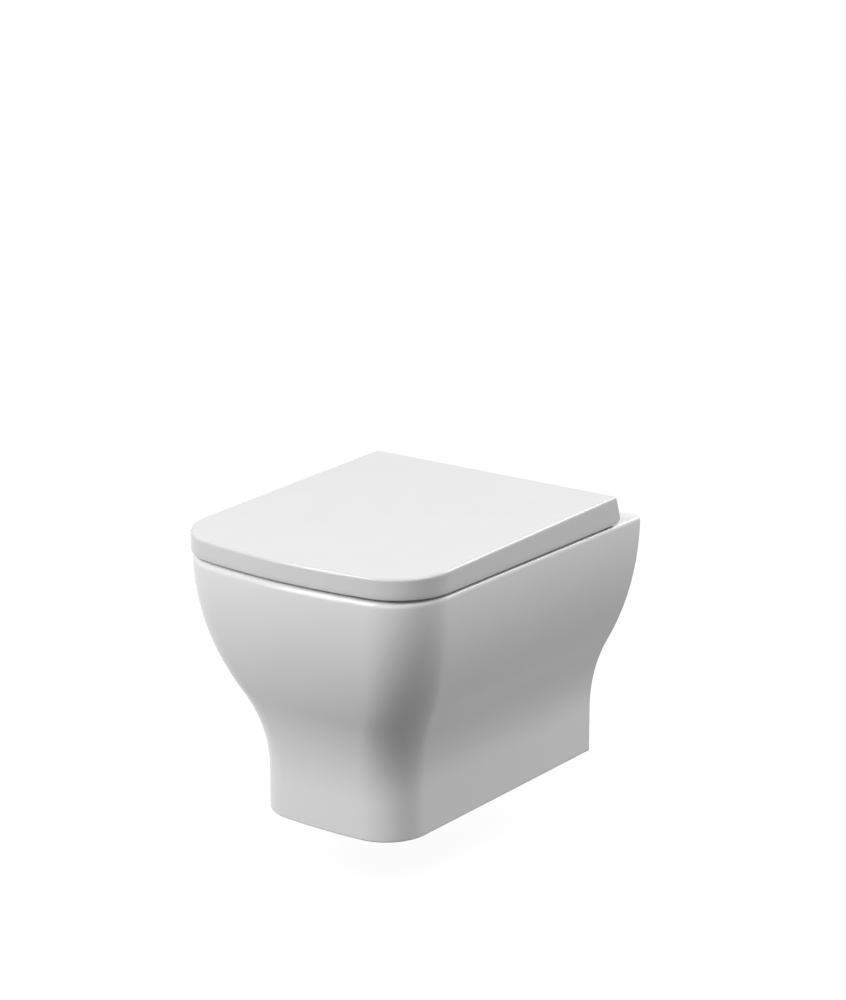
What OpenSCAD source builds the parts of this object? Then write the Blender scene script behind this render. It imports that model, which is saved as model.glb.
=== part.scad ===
// Wall hung toilet: a shrouded ceramic pan with a soft-close seat and a wrap-over lid.
// Millimetres. The origin lies midway between the two wall fixing holes, on the wall.
// +X is to the right seen from the front, +Y goes into the wall and +Z is up.

/* [Pan outside] */
// Width of the pan at its rim
rim_w = 360; // [346:2:392]
// Distance from the wall to the front of the rim
pan_proj = 476; // [466:2:520]
// Height of the ceramic
pan_h = 322; // [314:2:350]
// Width of the foot
foot_w = 222; // [216:2:250]
// Distance from the wall to the front of the foot
foot_proj = 407; // [396:1:430]
// Depth below the rim at which the sides have narrowed to the foot
side_flare_h = 262; // [250:2:290]
// Share of that depth at which the side curve turns from hollow to round
side_turn = 0.64; // [0.55:0.01:0.7]
// Depth below the rim at which the front has drawn back to the foot
front_flare_h = 276; // [256:2:300]
// Share of that depth at which the front curve turns
front_turn = 0.61; // [0.52:0.01:0.68]
// How far the rim's front bows forward of its corners
rim_bow = 22; // [12:1:30]
// How far the foot's front bows forward of its corners
foot_bow = 9; // [5:1:16]
// Corner radius of the rim in plan
rim_corner_r = 73; // [60:1:85]
// Corner radius of the foot in plan
foot_corner_r = 57; // [45:1:70]
// How far each side closes in over 300 mm towards the front
side_toe = 1.6; // [0:0.2:4]
// Radius of the rim's outer edge
rim_edge_r = 5; // [3:0.5:8]
// Thickness of the ceramic shroud
shroud_t = 12; // [9:1:14]
// Thickness of the flat deck and rim
deck_t = 16; // [13:1:20]

/* [Bowl and trap] */
// Width of the rim beside the bowl
rim_side = 49; // [44:1:56]
// Width of the rim in front of the bowl
rim_front = 46; // [40:1:56]
// Distance from the wall to the rear of the bowl
deck_len = 142; // [136:1:156]
// Depth of the bowl below the rim
bowl_depth = 286; // [276:2:294]
// Radius of the bowl's lip
lip_r = 8; // [5:0.5:10]
// Thickness of the bowl's wall
bowl_t = 10; // [8:1:12]
// Half width of the sump
sump_hw = 44; // [40:1:50]
// Half length of the sump
sump_hl = 47; // [42:1:54]
// Distance from the wall to the middle of the sump
sump_y = 275; // [268:1:284]
// Radius of the water passage
trap_r = 34; // [30:1:38]
// Thickness of the passage's wall
trap_t = 9; // [7:1:11]
// Slope of the rising passage
rise_a = 50; // [46:1:54]
// Slope of the falling passage
fall_a = 30; // [25:1:35]
// Height of the weir's passage above the outlet, centre to centre
weir_rise = 37; // [33:1:42]
// Bend radius over the weir
weir_bend_r = 55; // [52:1:58]
// Bend radius into the outlet
outlet_bend_r = 60; // [55:1:65]

/* [Wall connections] */
// Height of the rim above the fixing holes
rim_z = 88; // [84:1:94]
// Distance between the two fixing holes
stud_pitch = 180; // [180, 230]
// Radius of the bore that an M12 stud passes through
stud_bore_r = 6.25; // [6.15:0.05:6.6]
// Thickness of the back web that the studs clamp
web_t = 22; // [18:1:28]
// How far the web reaches below the fixing holes
web_drop = 25; // [20:1:27]
// Depth of the outlet's centre below the fixing holes
outlet_drop = 100; // [96:1:104]
// Outer radius of the waste spigot
spigot_r = 51; // [49:0.5:53]
// Bore radius of the waste spigot
spigot_bore_r = 42; // [38:0.5:44]
// Gap from the spigot's end to the wall
spigot_set = 8; // [5:1:12]
// Height of the flush inlet above the fixing holes
inlet_rise = 35; // [32:1:38]
// Bore radius of the flush inlet socket
inlet_r = 27.5; // [26:0.5:29]
// Depth of the flush inlet socket
inlet_len = 45; // [38:1:50]
// Thickness of the wall round that socket
socket_t = 12; // [11.5:0.5:14]
// Radius of the flush channel to the bowl
channel_r = 18; // [14:1:20]

/* [Seat and lid] */
// How far the lid stands out past the rim at the sides
lid_over = 1.5; // [0.5:0.5:3]
// How far the lid stands out past the rim at the front
lid_front_over = 1; // [0.5:0.5:3]
// Height of the lid's rear edge above the rim
lid_h = 38.4; // [38:0.2:40]
// Fall of the lid's top towards the front over 300 mm
lid_fall = 7.2; // [5:0.2:9]
// Distance from the wall to the lid's rear edge
lid_back = 57.5; // [56.5:0.5:58.5]
// Thickness of the lid's wall
lid_t = 3.5; // [3:0.1:3.8]
// Radius of the lid's upper edge
lid_edge_r = 4; // [3:0.5:5]
// Gap between the rim and the lid
lid_gap = 3; // [2.5:0.1:3.5]
// Gap between the seat's outside and the lid's inside
seat_gap = 1.6; // [1:0.1:3]
// Height of the seat's top above the rim
seat_top = 21; // [19:0.5:22]
// Height of the seat's underside above the rim
seat_under = 5; // [4:0.5:6]
// Distance from the wall to the seat's rear edge
seat_back = 88; // [87.5:0.5:92]
// Radius of the seat's upper edges
seat_edge_r = 6; // [4:0.5:8]
// Width of the seat beside its opening
seat_side = 64; // [58:1:70]
// Width of the seat in front of its opening
seat_front = 60; // [52:1:66]
// Distance from the wall to the rear of the seat's opening
seat_open_y = 152; // [146:1:160]
// Radius of the round end of a buffer
pad_r = 7; // [5:0.5:8]
// Radius of a buffer's stem
pad_stem_r = 3; // [2:0.5:4]

/* [Hinges] */
// Distance between the two seat fixing holes
seat_hole_pitch = 155; // [150:1:160]
// Distance from the wall to the seat fixing holes
hinge_hole_y = 84; // [83.5:0.5:86]
// Radius of the seat fixing holes
seat_hole_r = 7.5; // [7:0.25:9]
// Distance from the wall to the hinge axis
hinge_y = 62; // [61.5:0.5:62.5]
// Height of the hinge axis above the rim
hinge_z = 24.5; // [24:0.25:25]
// Radius of a hinge barrel
barrel_r = 7; // [6.5:0.1:7.4]
// Radius of a pivot shaft
shaft_r = 3; // [2.5:0.1:3.4]
// Running clearance round a shaft
run_c = 0.05; // [0.02:0.01:0.08]
// Radius of the damper cartridges
cartridge_r = 5; // [4.6:0.1:5.4]
// Width of a hinge block
block_w = 33; // [30:1:34]
// Length of a hinge block from front to rear
block_l = 30; // [29:0.5:31]
// Height of a hinge block's top above the rim
block_top = 29.5; // [28.5:0.5:30.5]
// Width of a hinge knuckle
knuckle_w = 16; // [13:0.5:17]
// Side gap between a hinge block and a knuckle
knuckle_c = 1; // [0.6:0.1:1.5]
// Radius of the foot flange of a hinge post
flange_r = 14; // [12:0.5:15]
// Thickness of that flange
flange_t = 3; // [2.5:0.25:3.5]
// Thickness of the rubber disc below it
gasket_t = 0.8; // [0.6:0.1:1.2]
// Radius of a hinge post
post_r = 8; // [7.8:0.1:8.2]
// Radius of the latch groove in a post
groove_r = 6.4; // [6.2:0.1:6.8]
// Travel of a release button
press = 2; // [1.6:0.1:2.2]
// Width of a release button
button_w = 17.6; // [15:0.2:18.4]

/* [Hidden] */
fine = 64;
// How far a cut runs past the face it opens
over = 3;
toe = side_toe / 300;
// Depths below the rim of what the fixing holes place
stud_z = -rim_z;
outlet_z = -rim_z - outlet_drop;
inlet_z = -rim_z + inlet_rise;
// Points round a corner, along the front, round an oval and round the water passage
corner_n = 7;
front_n = 8;
oval_n = 28;
trap_n = 20;
// Walls round the flush passage: the socket's end, the channel's side and its end in the bowl's wall
socket_end_t = 7;
channel_t = 8;
channel_end = 6;
// How the bowl narrows with depth, and how square its oval is at the sump and at the rim
bowl_power = 1.9;
bowl_square = [2.3, 2.8];
// Wall fixings
sleeve_t = 3.75;
sleeve_c = 0.1;
collar_w = 4;
collar_t = 2.5;
washer_w = 6.5;
washer_t = 2.5;
nut_w = 4.7;
nut_t = 10;
sleeve_hole_r = stud_bore_r + sleeve_t;
sleeve_end = web_t + collar_t;
washer_end = sleeve_end + washer_t;
nut_end = washer_end + nut_t;
// Seat and lid outlines in plan
lid_hw = rim_w / 2 + lid_over;
lid_proj = pan_proj + lid_front_over;
seat_hw = lid_hw - lid_t - seat_gap;
seat_proj = lid_proj - lid_t - seat_gap;
// Lower rear corner of the lid: where its slanted back ends, and the round that follows
lid_lean = 10;
lid_round_h = 7;
lid_round_w = 9;
lid_low_y = lid_back - lid_lean;
lid_low_z = lid_gap + lid_round_h;
// Small rounding of the lid's lower edge, and the rounding inside its upper edge
lid_foot_inset = 0.8;
lid_inner_r = 3;
// Hinge stack, from the rim up
flange_z = gasket_t + flange_t;
groove_z = flange_z + 2.4;
groove_h = 3.6;
post_top = groove_z + groove_h + 2.7;
latch_t = 3;
latch_z = groove_z + 0.3;
head_seat_z = flange_z + 3.7;
bolt_r = 2.5;
bolt_head_r = 4.25;
bolt_head_h = post_top - head_seat_z;
// Rubber bush of the seat's anchor: room in its hole and below the gasket, bore, bulge and length
bush_c = 0.2;
bush_top_c = 0.3;
bush_bore_r = 3;
bush_bulge = 3;
bush_len = 9;
bush_end_z = -deck_t - bush_len;
// Cone nut in the bush's lower end, and how far the bolt comes through it
cone_c = 0.1;
cone_bore_c = 0.05;
cone_r = 7.5;
cone_mouth_r = 5.5;
cone_rise = 4;
cone_len = 4.9;
cone_end_z = bush_end_z - cone_c - cone_len;
bolt_out = 3;
bolt_end_z = cone_end_z - bolt_out;
// Notches in the lid's back for the hinge blocks, and the skin left above them
notch_far = 12;
notch_near = 20;
notch_skin = 0.3;
// Hinge block, across and along
hinge_x = seat_hole_pitch / 2;
block_back = hinge_hole_y - 12;
block_front = block_back + block_l;
pocket_d = 6;
button_z = flange_z + 2.4;
button_h = 11.8;
button_t = 3;
button_out = 1.2;
spring_z = button_z + 9.3;
spring_r = 2.2;
spring_well = 5;
cut_c = 0.3;
seat_knuckle_x = hinge_x - block_w / 2 - knuckle_c - knuckle_w / 2;
lid_knuckle_x = hinge_x + block_w / 2 + knuckle_c + knuckle_w / 2;
// Places of the buffers, from the middle and from the wall
seat_pads = [[140, 180], [128, 385]];
lid_pads = [[142, 205], [127, 372]];
boss_z = seat_top + 3.6;

// Half width or projection at depth d of a flare between two sizes, made of two tangent arcs
function flare(d, wide, narrow, height, turn) =
    let (a = 2 * atan((wide - narrow) / height), r = height / sin(a),
         r1 = r * turn, r2 = r - r1, h1 = height * turn)
    d <= 0 ? wide
    : d < h1 ? wide - r1 + sqrt(r1 * r1 - d * d)
    : d < height ? narrow + r2 - sqrt(r2 * r2 - (height - d) * (height - d))
    : narrow;

// Outline in plan: straight sides, round front corners and a bowed front, anticlockwise from rear left
function d_plan(hw, proj, bow, r, back) =
    let (wf = hw - toe * (proj - r), rf = (wf * wf + bow * bow) / (2 * bow), yc = rf - proj,
         yk = yc - sqrt((rf - r) * (rf - r) - (wf - r) * (wf - r)), turn = atan2(yk - yc, wf - r),
         right = [for (k = [corner_n:-1:0]) let (a = turn * k / corner_n)
                  [wf - r + r * cos(a), yk + r * sin(a)]])
    concat([[-hw, back]],
           [for (k = [0:corner_n]) [-right[corner_n - k][0], right[corner_n - k][1]]],
           [for (k = [1:front_n - 1]) let (a = (-180 - turn) + (180 + 2 * turn) * k / front_n)
            [rf * cos(a), yc + rf * sin(a)]],
           right, [[hw, back]]);

// Oval outline in plan between two distances from the wall, anticlockwise
function signed_pow(v, p) = sign(v) * pow(abs(v), p);
function oval(hw, front, rear, square) =
    [for (k = [0:oval_n - 1]) let (a = 360 * k / oval_n)
     [hw * signed_pow(cos(a), 2 / square),
      -(front + rear) / 2 + (front - rear) / 2 * signed_pow(sin(a), 2 / square)]];

function at_z(plan, z) = [for (p = plan) [p[0], p[1], z]];

// Inset of a rounded edge of radius r, at a distance t from the flat face it runs into
function edge_inset(t, r) = t >= r ? 0 : r - sqrt(r * r - (r - t) * (r - t));

// Solid through rings that go upwards, each anticlockwise seen from above
module loft(rings) {
    n = len(rings[0]);
    m = len(rings);
    polyhedron(points = [for (r = rings) each r],
        faces = concat([[for (i = [0:n - 1]) i]],
            [for (k = [0:m - 2], i = [0:n - 1]) let (j = (i + 1) % n)
             each [[k * n + i, (k + 1) * n + i, (k + 1) * n + j], [k * n + i, (k + 1) * n + j, k * n + j]]],
            [[for (i = [n - 1:-1:0]) (m - 1) * n + i]]));
}

module at_rim() translate([0, 0, rim_z]) children();

module both_sides() {
    children();
    mirror([1, 0, 0]) children();
}

// Cylinder along X, centred on x, and cylinder along Y between two distances from the wall
module rod_x(x, y, z, r, len) translate([x - len / 2, y, z]) rotate([0, 90, 0]) cylinder(h = len, r = r, $fn = fine);
module rod_y(x, z, r, far, near) translate([x, -near, z]) rotate([90, 0, 0]) cylinder(h = far - near, r = r, $fn = fine);

// Block between two distances from the wall
module slab(x0, x1, far, near, z0, z1) translate([x0, -far, z0]) cube([x1 - x0, far - near, z1 - z0]);

// Sheet that stands across X, drawn as distance from the wall and height
module side_sheet(x, w, points)
    translate([x - w / 2, 0, 0]) rotate([90, 0, 90]) linear_extrude(height = w)
        polygon([for (p = points) [-p[0], p[1]]]);

// Pan: outline of the shroud at depth d, drawn in by t
function pan_hw(d) = flare(d, rim_w / 2, foot_w / 2, side_flare_h, side_turn);
function pan_share(d) = (pan_hw(d) - foot_w / 2) / (rim_w / 2 - foot_w / 2);
function pan_plan(d, t, back) = let (s = pan_share(d))
    d_plan(pan_hw(d) - t, flare(d, pan_proj, foot_proj, front_flare_h, front_turn) - t,
           foot_bow + (rim_bow - foot_bow) * s, foot_corner_r + (rim_corner_r - foot_corner_r) * s - t, back);

module shroud() {
    levels = 14;
    depths = concat([for (k = [0:levels]) pan_h - (pan_h - rim_edge_r) * k / levels],
                    [rim_edge_r * 0.3, 0]);
    loft([for (d = depths) at_z(pan_plan(d, edge_inset(d, rim_edge_r), 0), -d)]);
}

module shroud_hollow() {
    levels = 12;
    depths = [for (k = [0:levels]) pan_h + 1 - (pan_h + 1 - deck_t) * k / levels];
    loft([for (d = depths) at_z(pan_plan(d, shroud_t, 1), -d)]);
}

// Bowl: oval at depth d, grown by t
function bowl_share(d) = 1 - pow(max(d, 0) / bowl_depth, bowl_power);
function bowl_plan(d, t, grow) =
    let (s = bowl_share(d), hw = sump_hw + (rim_w / 2 - rim_side - sump_hw) * s,
         front = sump_y + sump_hl + (pan_proj - rim_front - sump_y - sump_hl) * s,
         rear = sump_y - sump_hl + (deck_len - sump_y + sump_hl) * s,
         mid = (front + rear) / 2, half = (front - rear) / 2)
    oval(hw * t + grow, mid + half * t + grow, mid - half * t - grow,
         bowl_square[0] + (bowl_square[1] - bowl_square[0]) * s);

// The last part of the bowl rounds over to its floor
sump_round = 22;
function floor_share(a) = max(0.25, cos(a));

module bowl(grow, top, levels) {
    deep = bowl_depth - sump_round;
    loft(concat(
        [for (a = [90, 60, 30]) at_z(bowl_plan(deep + sump_round * sin(a) * 0.999, floor_share(a), grow),
                                     -deep - (sump_round + grow) * sin(a))],
        [for (k = [0:levels - 1]) let (d = deep - (deep - lip_r) * k / levels) at_z(bowl_plan(d, 1, grow), -d)],
        top));
}

module bowl_inside()
    bowl(0, [for (d = [lip_r, lip_r * 0.4, lip_r * 0.12, 0, -1])
             at_z(bowl_plan(max(d, 0), 1, edge_inset(max(d, 0), lip_r)), -d)], 10);

module bowl_outside()
    bowl(bowl_t, [at_z(bowl_plan(deck_t, 1, bowl_t), -deck_t)], 8);

// Centre line of the trap in the Y-Z plane, from the sump over the weir to the outlet
trap_start = [-sump_y, -bowl_depth + trap_r * cos(rise_a)];
weir_z = outlet_z + weir_rise;
rise_end_z = weir_z - weir_bend_r * (1 - cos(rise_a));
rise_len = (rise_end_z - trap_start[1]) / sin(rise_a);
rise_end = [trap_start[0] + rise_len * cos(rise_a), rise_end_z];
weir_mid = [rise_end[0] + weir_bend_r * sin(rise_a), rise_end_z - weir_bend_r * cos(rise_a)];
fall_start = [weir_mid[0] + weir_bend_r * sin(fall_a), weir_mid[1] + weir_bend_r * cos(fall_a)];
fall_end_z = outlet_z + outlet_bend_r * (1 - cos(fall_a));
fall_len = (fall_start[1] - fall_end_z) / sin(fall_a);
fall_end = [fall_start[0] + fall_len * cos(fall_a), fall_end_z];
outlet_mid = [fall_end[0] + outlet_bend_r * sin(fall_a), outlet_z + outlet_bend_r];

// Stations along that line, each a place and a heading above the level. The last lies inside the spigot
trap_overrun = 6;
trap_path = concat(
    [[trap_start, rise_a]],
    [for (k = [0:5]) let (a = rise_a - (rise_a + fall_a) * k / 5)
     [weir_mid + weir_bend_r * [-sin(a), cos(a)], a]],
    [for (k = [0:3]) let (a = fall_a * (k / 3 - 1))
     [outlet_mid + outlet_bend_r * [sin(a), -cos(a)], a]],
    [[[outlet_mid[0] + trap_overrun, outlet_z], 0]]);

module trap(r)
    loft([for (s = trap_path) [for (k = [0:trap_n - 1]) let (a = 360 * k / trap_n)
          [r * cos(a), s[0][0] + r * sin(a) * sin(s[1]), s[0][1] - r * sin(a) * cos(s[1])]]]);

// The ceramic is one casting. It is drawn in four nodes that meet face to face and share no space: the
// outer shell with the rim, the bowl below the rim, the trap with the waste spigot, and the web at the wall
module flush_channel() rod_y(0, inlet_z, channel_r, deck_len + 2 * channel_end, inlet_len - 1);

module pan() color("white") at_rim() difference() {
    shroud();
    shroud_hollow();
    bowl_inside();
    both_sides() translate([hinge_x, -hinge_hole_y, -deck_t - over])
        cylinder(h = deck_t + 2 * over, r = seat_hole_r, $fn = fine);
}

module pan_bowl() color("snow") at_rim() difference() {
    bowl_outside();
    bowl_inside();
    trap(trap_r);
    flush_channel();
}

module pan_trap() color("linen") at_rim() difference() {
    union() {
        trap(trap_r + trap_t);
        rod_y(0, outlet_z, spigot_r, -outlet_mid[0] + 1, spigot_set);
    }
    bowl_outside();
    trap(trap_r);
    rod_y(0, outlet_z, spigot_bore_r, -outlet_mid[0] - 1, -over);
}

module pan_web() color("ivory") at_rim() difference() {
    intersection() {
        shroud_hollow();
        union() {
            slab(-rim_w, rim_w, web_t, 0, stud_z - web_drop, over);
            rod_y(0, inlet_z, inlet_r + socket_t, inlet_len + socket_end_t, 0);
            rod_y(0, inlet_z, channel_r + channel_t, deck_len + channel_end, inlet_len);
        }
    }
    bowl_outside();
    rod_y(0, inlet_z, inlet_r, inlet_len, -over);
    flush_channel();
    both_sides() rod_y(stud_pitch / 2, stud_z, sleeve_hole_r, web_t + over, -over);
}

// Wall fixings, each a ring on the stud's axis between two distances from the wall
module stud_ring(r, far, near, sides = fine) both_sides() difference() {
    translate([stud_pitch / 2, -near, stud_z]) rotate([90, 0, 0]) cylinder(h = far - near, r = r, $fn = sides);
    rod_y(stud_pitch / 2, stud_z, stud_bore_r, far + over, near - over);
}

module stud_sleeves() color("ivory") at_rim() both_sides() difference() {
    union() {
        rod_y(stud_pitch / 2, stud_z, sleeve_hole_r - sleeve_c, sleeve_end, 0);
        rod_y(stud_pitch / 2, stud_z, sleeve_hole_r + collar_w, sleeve_end, web_t);
    }
    rod_y(stud_pitch / 2, stud_z, stud_bore_r, sleeve_end + over, -over);
}

module stud_washers() color("silver") at_rim() stud_ring(stud_bore_r + washer_w, washer_end, sleeve_end);

module stud_nuts() color("silver") at_rim() stud_ring(stud_bore_r + nut_w, nut_end, washer_end, 6);

// Hinge fixings: turned pieces on the axis of a seat hole, drawn as radius and height
module turned(points) both_sides() translate([hinge_x, -hinge_hole_y, 0])
    rotate_extrude($fn = fine) polygon(points);

module hinge_gaskets() color("dimgray") at_rim()
    turned([[3.2, 0], [flange_r + 1, 0], [flange_r + 1, gasket_t], [3.2, gasket_t]]);

module anchor_bushes() color("dimgray") at_rim() let (r = seat_hole_r - bush_c, wide = r + bush_bulge)
    turned([[bush_bore_r, -bush_top_c], [r, -bush_top_c], [r, -deck_t - 2 * bush_c],
            [wide, -deck_t - bush_len / 3], [wide, -deck_t - bush_len * 2 / 3], [r, bush_end_z],
            [cone_mouth_r, bush_end_z], [bush_bore_r, bush_end_z + cone_rise]]);

module anchor_cones() color("goldenrod") at_rim() let (bore = bolt_r + cone_bore_c, tip = bush_end_z + cone_rise)
    turned([[bore, tip - 6 * cone_c], [bush_bore_r, tip - 3 * cone_c], [cone_mouth_r - cone_c, bush_end_z - cone_c],
            [cone_r, bush_end_z - cone_c], [cone_r, cone_end_z], [bore, cone_end_z]]);

module hinge_posts() color("silver") at_rim()
    turned([[bolt_r + 0.2, gasket_t], [flange_r, gasket_t], [flange_r, flange_z - 0.6],
            [flange_r - 0.6, flange_z], [post_r, flange_z], [post_r, groove_z], [groove_r, groove_z],
            [groove_r, groove_z + groove_h], [post_r, groove_z + groove_h], [post_r, post_top - 1],
            [post_r - 1, post_top], [bolt_head_r + 0.3, post_top], [bolt_head_r + 0.3, head_seat_z],
            [bolt_r + 0.2, head_seat_z]]);

module hinge_bolts() color("gray") at_rim() difference() {
    turned([[0, bolt_end_z], [bolt_r, bolt_end_z], [bolt_r, head_seat_z], [bolt_head_r, head_seat_z],
            [bolt_head_r, post_top - 0.4], [0, post_top - 0.4]]);
    both_sides() translate([hinge_x, -hinge_hole_y, post_top - 3]) cylinder(h = 4, r = 2.3, $fn = 6);
}

// Hinge block: a rounded body over the post, with an arm up to the barrel
module block_shape() {
    r = 3;
    difference() {
        union() {
            for (sx = [-1, 1], y = [block_front - r, block_back + r])
                translate([hinge_x + sx * (block_w / 2 - r), -y, flange_z])
                    cylinder(h = block_top - flange_z, r = r, $fn = fine);
            slab(hinge_x - block_w / 2 + r, hinge_x + block_w / 2 - r, block_front, block_back, flange_z, block_top);
            slab(hinge_x - block_w / 2, hinge_x + block_w / 2, block_front - r, block_back + r, flange_z, block_top);
            side_sheet(hinge_x, block_w, [[block_back + r, block_top], [hinge_y, hinge_z + barrel_r],
                [hinge_y, hinge_z - barrel_r], [hinge_y + 4, hinge_z - barrel_r + 0.6],
                [block_back, hinge_z - barrel_r - 1.5], [block_back + r, hinge_z - barrel_r - 1.5]]);
            rod_x(hinge_x, -hinge_y, hinge_z, barrel_r, block_w);
        }
        translate([hinge_x, -hinge_hole_y, flange_z - 1])
            cylinder(h = post_top - flange_z + 1.4, r = post_r + cut_c, $fn = fine);
        slab(hinge_x - button_w / 2 - cut_c, hinge_x + button_w / 2 + cut_c, block_front + 1,
             block_front - pocket_d, button_z - cut_c, button_z + button_h + cut_c);
        slab(hinge_x - latch_hw - cut_c, hinge_x + latch_hw + cut_c, block_front - pocket_d + 1, block_back - 1,
             latch_z - 0.2, latch_z + latch_t + 0.2);
        rod_y(hinge_x, spring_z, spring_r + cut_c, block_front - pocket_d + 1, block_front - pocket_d - spring_well);
        rod_x(hinge_x, -hinge_y, hinge_z, shaft_r + run_c, block_w + 2);
        translate([hinge_x, -hinge_y, hinge_z]) cylinder(h = barrel_r + 2, r = grub_r + run_c, $fn = fine);
    }
}

module hinge_blocks() color("silver") at_rim() both_sides() block_shape();

shaft_x0 = seat_knuckle_x - knuckle_w / 2;
shaft_x1 = lid_knuckle_x + knuckle_w / 2 - 1;
module pivot_shafts() color("lightgray") at_rim() both_sides()
    rod_x((shaft_x0 + shaft_x1) / 2, -hinge_y, hinge_z, shaft_r, shaft_x1 - shaft_x0);

grub_r = 2;
module shaft_screws() color("gray") at_rim() both_sides() difference() {
    translate([hinge_x, -hinge_y, hinge_z + shaft_r]) cylinder(h = barrel_r - shaft_r - 0.6, r = grub_r, $fn = fine);
    translate([hinge_x, -hinge_y, hinge_z + barrel_r - 2.4]) cylinder(h = 3, r = 1.1, $fn = 6);
}

// Release button: a cap in the block's front with a latch plate that hooks the post's groove
latch_hw = 10.2;
latch_shift = press - 0.5;
latch_back = hinge_hole_y - post_r - 0.5 + latch_shift - 2.6;
button_front = block_front + button_out;
module release_button(x) color("lightgray") at_rim() {
    difference() {
        union() {
            slab(x - button_w / 2, x + button_w / 2, button_front, button_front - button_t,
                 button_z, button_z + button_h);
            slab(x - 4, x + 4, button_front - button_t + 0.5, block_front - pocket_d - 1, latch_z, latch_z + latch_t);
            slab(x - latch_hw, x + latch_hw, block_front - pocket_d - cut_c, latch_back,
                 latch_z, latch_z + latch_t);
        }
        for (dy = [latch_shift, latch_shift + 0.5])
            translate([x, -hinge_hole_y - dy, latch_z - 1]) cylinder(h = latch_t + 2, r = post_r + 0.5, $fn = fine);
    }
}

module left_release_button() release_button(-hinge_x);
module right_release_button() release_button(hinge_x);

// Return spring: the tube that its coils fill
module release_spring(x) color("gray") at_rim() difference() {
    rod_y(x, spring_z, spring_r, button_front - button_t, block_front - pocket_d - spring_well);
    rod_y(x, spring_z, spring_r - 0.8, button_front, block_front - pocket_d - spring_well - 1);
}

module left_release_spring() release_spring(-hinge_x);
module right_release_spring() release_spring(hinge_x);

// Seat ring
seat_corner_r = rim_corner_r - lid_t;
module seat_body() {
    bottom_r = 1.5;
    loft(concat(
        [for (t = [0, bottom_r]) at_z(seat_plan(edge_inset(t, bottom_r)), seat_under + t)],
        [for (a = [0, 25, 50, 90]) at_z(seat_plan(seat_edge_r * (1 - cos(a))), seat_top - seat_edge_r * (1 - sin(a)))]));
}
function seat_plan(t) = d_plan(seat_hw - t, seat_proj - t, rim_bow, seat_corner_r - t, -seat_back - t);

module seat_opening() {
    r = seat_edge_r + 1;
    loft(concat(
        [at_z(seat_oval(0), seat_under - 1)],
        [for (a = [0, 25, 50, 75]) at_z(seat_oval(r * (1 - cos(a))), seat_top - r + r * sin(a))],
        [at_z(seat_oval(r), seat_top + 1)]));
}
function seat_oval(grow) = oval(rim_w / 2 - seat_side - lid_t + grow, pan_proj - seat_front + grow,
                                seat_open_y - grow, 2.5);

module seat_knuckle() {
    rod_x(seat_knuckle_x, -hinge_y, hinge_z, barrel_r, knuckle_w);
    side_sheet(seat_knuckle_x, knuckle_w, [[hinge_y, hinge_z + barrel_r], [hinge_y + 5, hinge_z + 6.4],
        [seat_back + 9, seat_top - 0.5], [seat_back + 9, seat_under + 0.5], [seat_back - 9, seat_under + 1],
        [hinge_y + 4, hinge_z - barrel_r - 2], [hinge_y, hinge_z - barrel_r]]);
}

module seat_ring() color("whitesmoke") at_rim() difference() {
    union() {
        seat_body();
        both_sides() seat_knuckle();
    }
    seat_opening();
    both_sides() {
        rod_x(seat_knuckle_x, -hinge_y, hinge_z, cartridge_r + run_c, knuckle_w + 2);
        slab(hinge_x - block_w / 2 - knuckle_c, hinge_x + block_w / 2 + knuckle_c, block_front + 4,
             seat_back - 2, seat_under - 2, seat_top + 2);
        for (p = seat_pads)
            translate([p[0], -p[1], seat_under - 1]) cylinder(h = 6, r = pad_stem_r + run_c, $fn = fine);
    }
}

// Buffer with a slot-shaped pad of height h below z and a round stem above it
module buffer(p, z, h, r, half, stem) {
    for (s = [-1, 1]) translate([p[0], -p[1] + s * half, z - h]) cylinder(h = h, r = r, $fn = fine);
    if (half > 0) slab(p[0] - r, p[0] + r, p[1] + half, p[1] - half, z - h, z);
    translate([p[0], -p[1], z - h]) cylinder(h = h + stem, r = pad_stem_r, $fn = fine);
}

module seat_buffers() color("gainsboro") at_rim() both_sides()
    for (p = seat_pads) buffer(p, seat_under, seat_under, pad_r, 6, 4.5);

module cartridge(x) difference() {
    rod_x(x, -hinge_y, hinge_z, cartridge_r, knuckle_w);
    rod_x(x, -hinge_y, hinge_z, shaft_r + run_c, knuckle_w + 2);
}

module seat_damper() color("dimgray") at_rim() cartridge(-seat_knuckle_x);
module seat_bush() color("dimgray") at_rim() cartridge(seat_knuckle_x);

// Lid: its top falls towards the front, its back leans and its lower rear corner is round
function lid_top(y) = lid_h - lid_fall / 300 * (-y - lid_back);
function back_at(z) = lid_low_y + (z - lid_low_z) * (lid_back - lid_low_y) / (lid_h - lid_low_z);
function lid_plan(t, back) = d_plan(lid_hw - t, lid_proj - t, rim_bow, rim_corner_r - t, -back);
function hang(plan, drop) = [for (p = plan) [p[0], p[1], lid_top(p[1]) - drop]];

module lid_outside()
    loft(concat(
        [for (a = [90, 67, 45, 22, 0]) at_z(lid_plan(a == 90 ? lid_foot_inset : 0,
             lid_low_y + lid_round_w * (1 - cos(a))), lid_low_z - lid_round_h * sin(a))],
        [for (a = [0, 30, 60, 90]) hang(lid_plan(lid_edge_r * (1 - cos(a)),
             back_at(lid_h - lid_edge_r * (1 - sin(a))) + lid_edge_r * (1 - cos(a))),
             lid_edge_r * (1 - sin(a)))]));

module lid_hollow()
    loft([at_z(lid_plan(lid_t, lid_low_y + lid_round_w + lid_t), lid_gap - 1),
          at_z(lid_plan(lid_t, lid_low_y + lid_t), lid_low_z),
          hang(lid_plan(lid_t, back_at(lid_h - lid_t - lid_inner_r) + lid_t), lid_t + lid_inner_r),
          hang(lid_plan(lid_t + lid_inner_r, back_at(lid_h - lid_t) + lid_t + lid_inner_r), lid_t)]);

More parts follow.
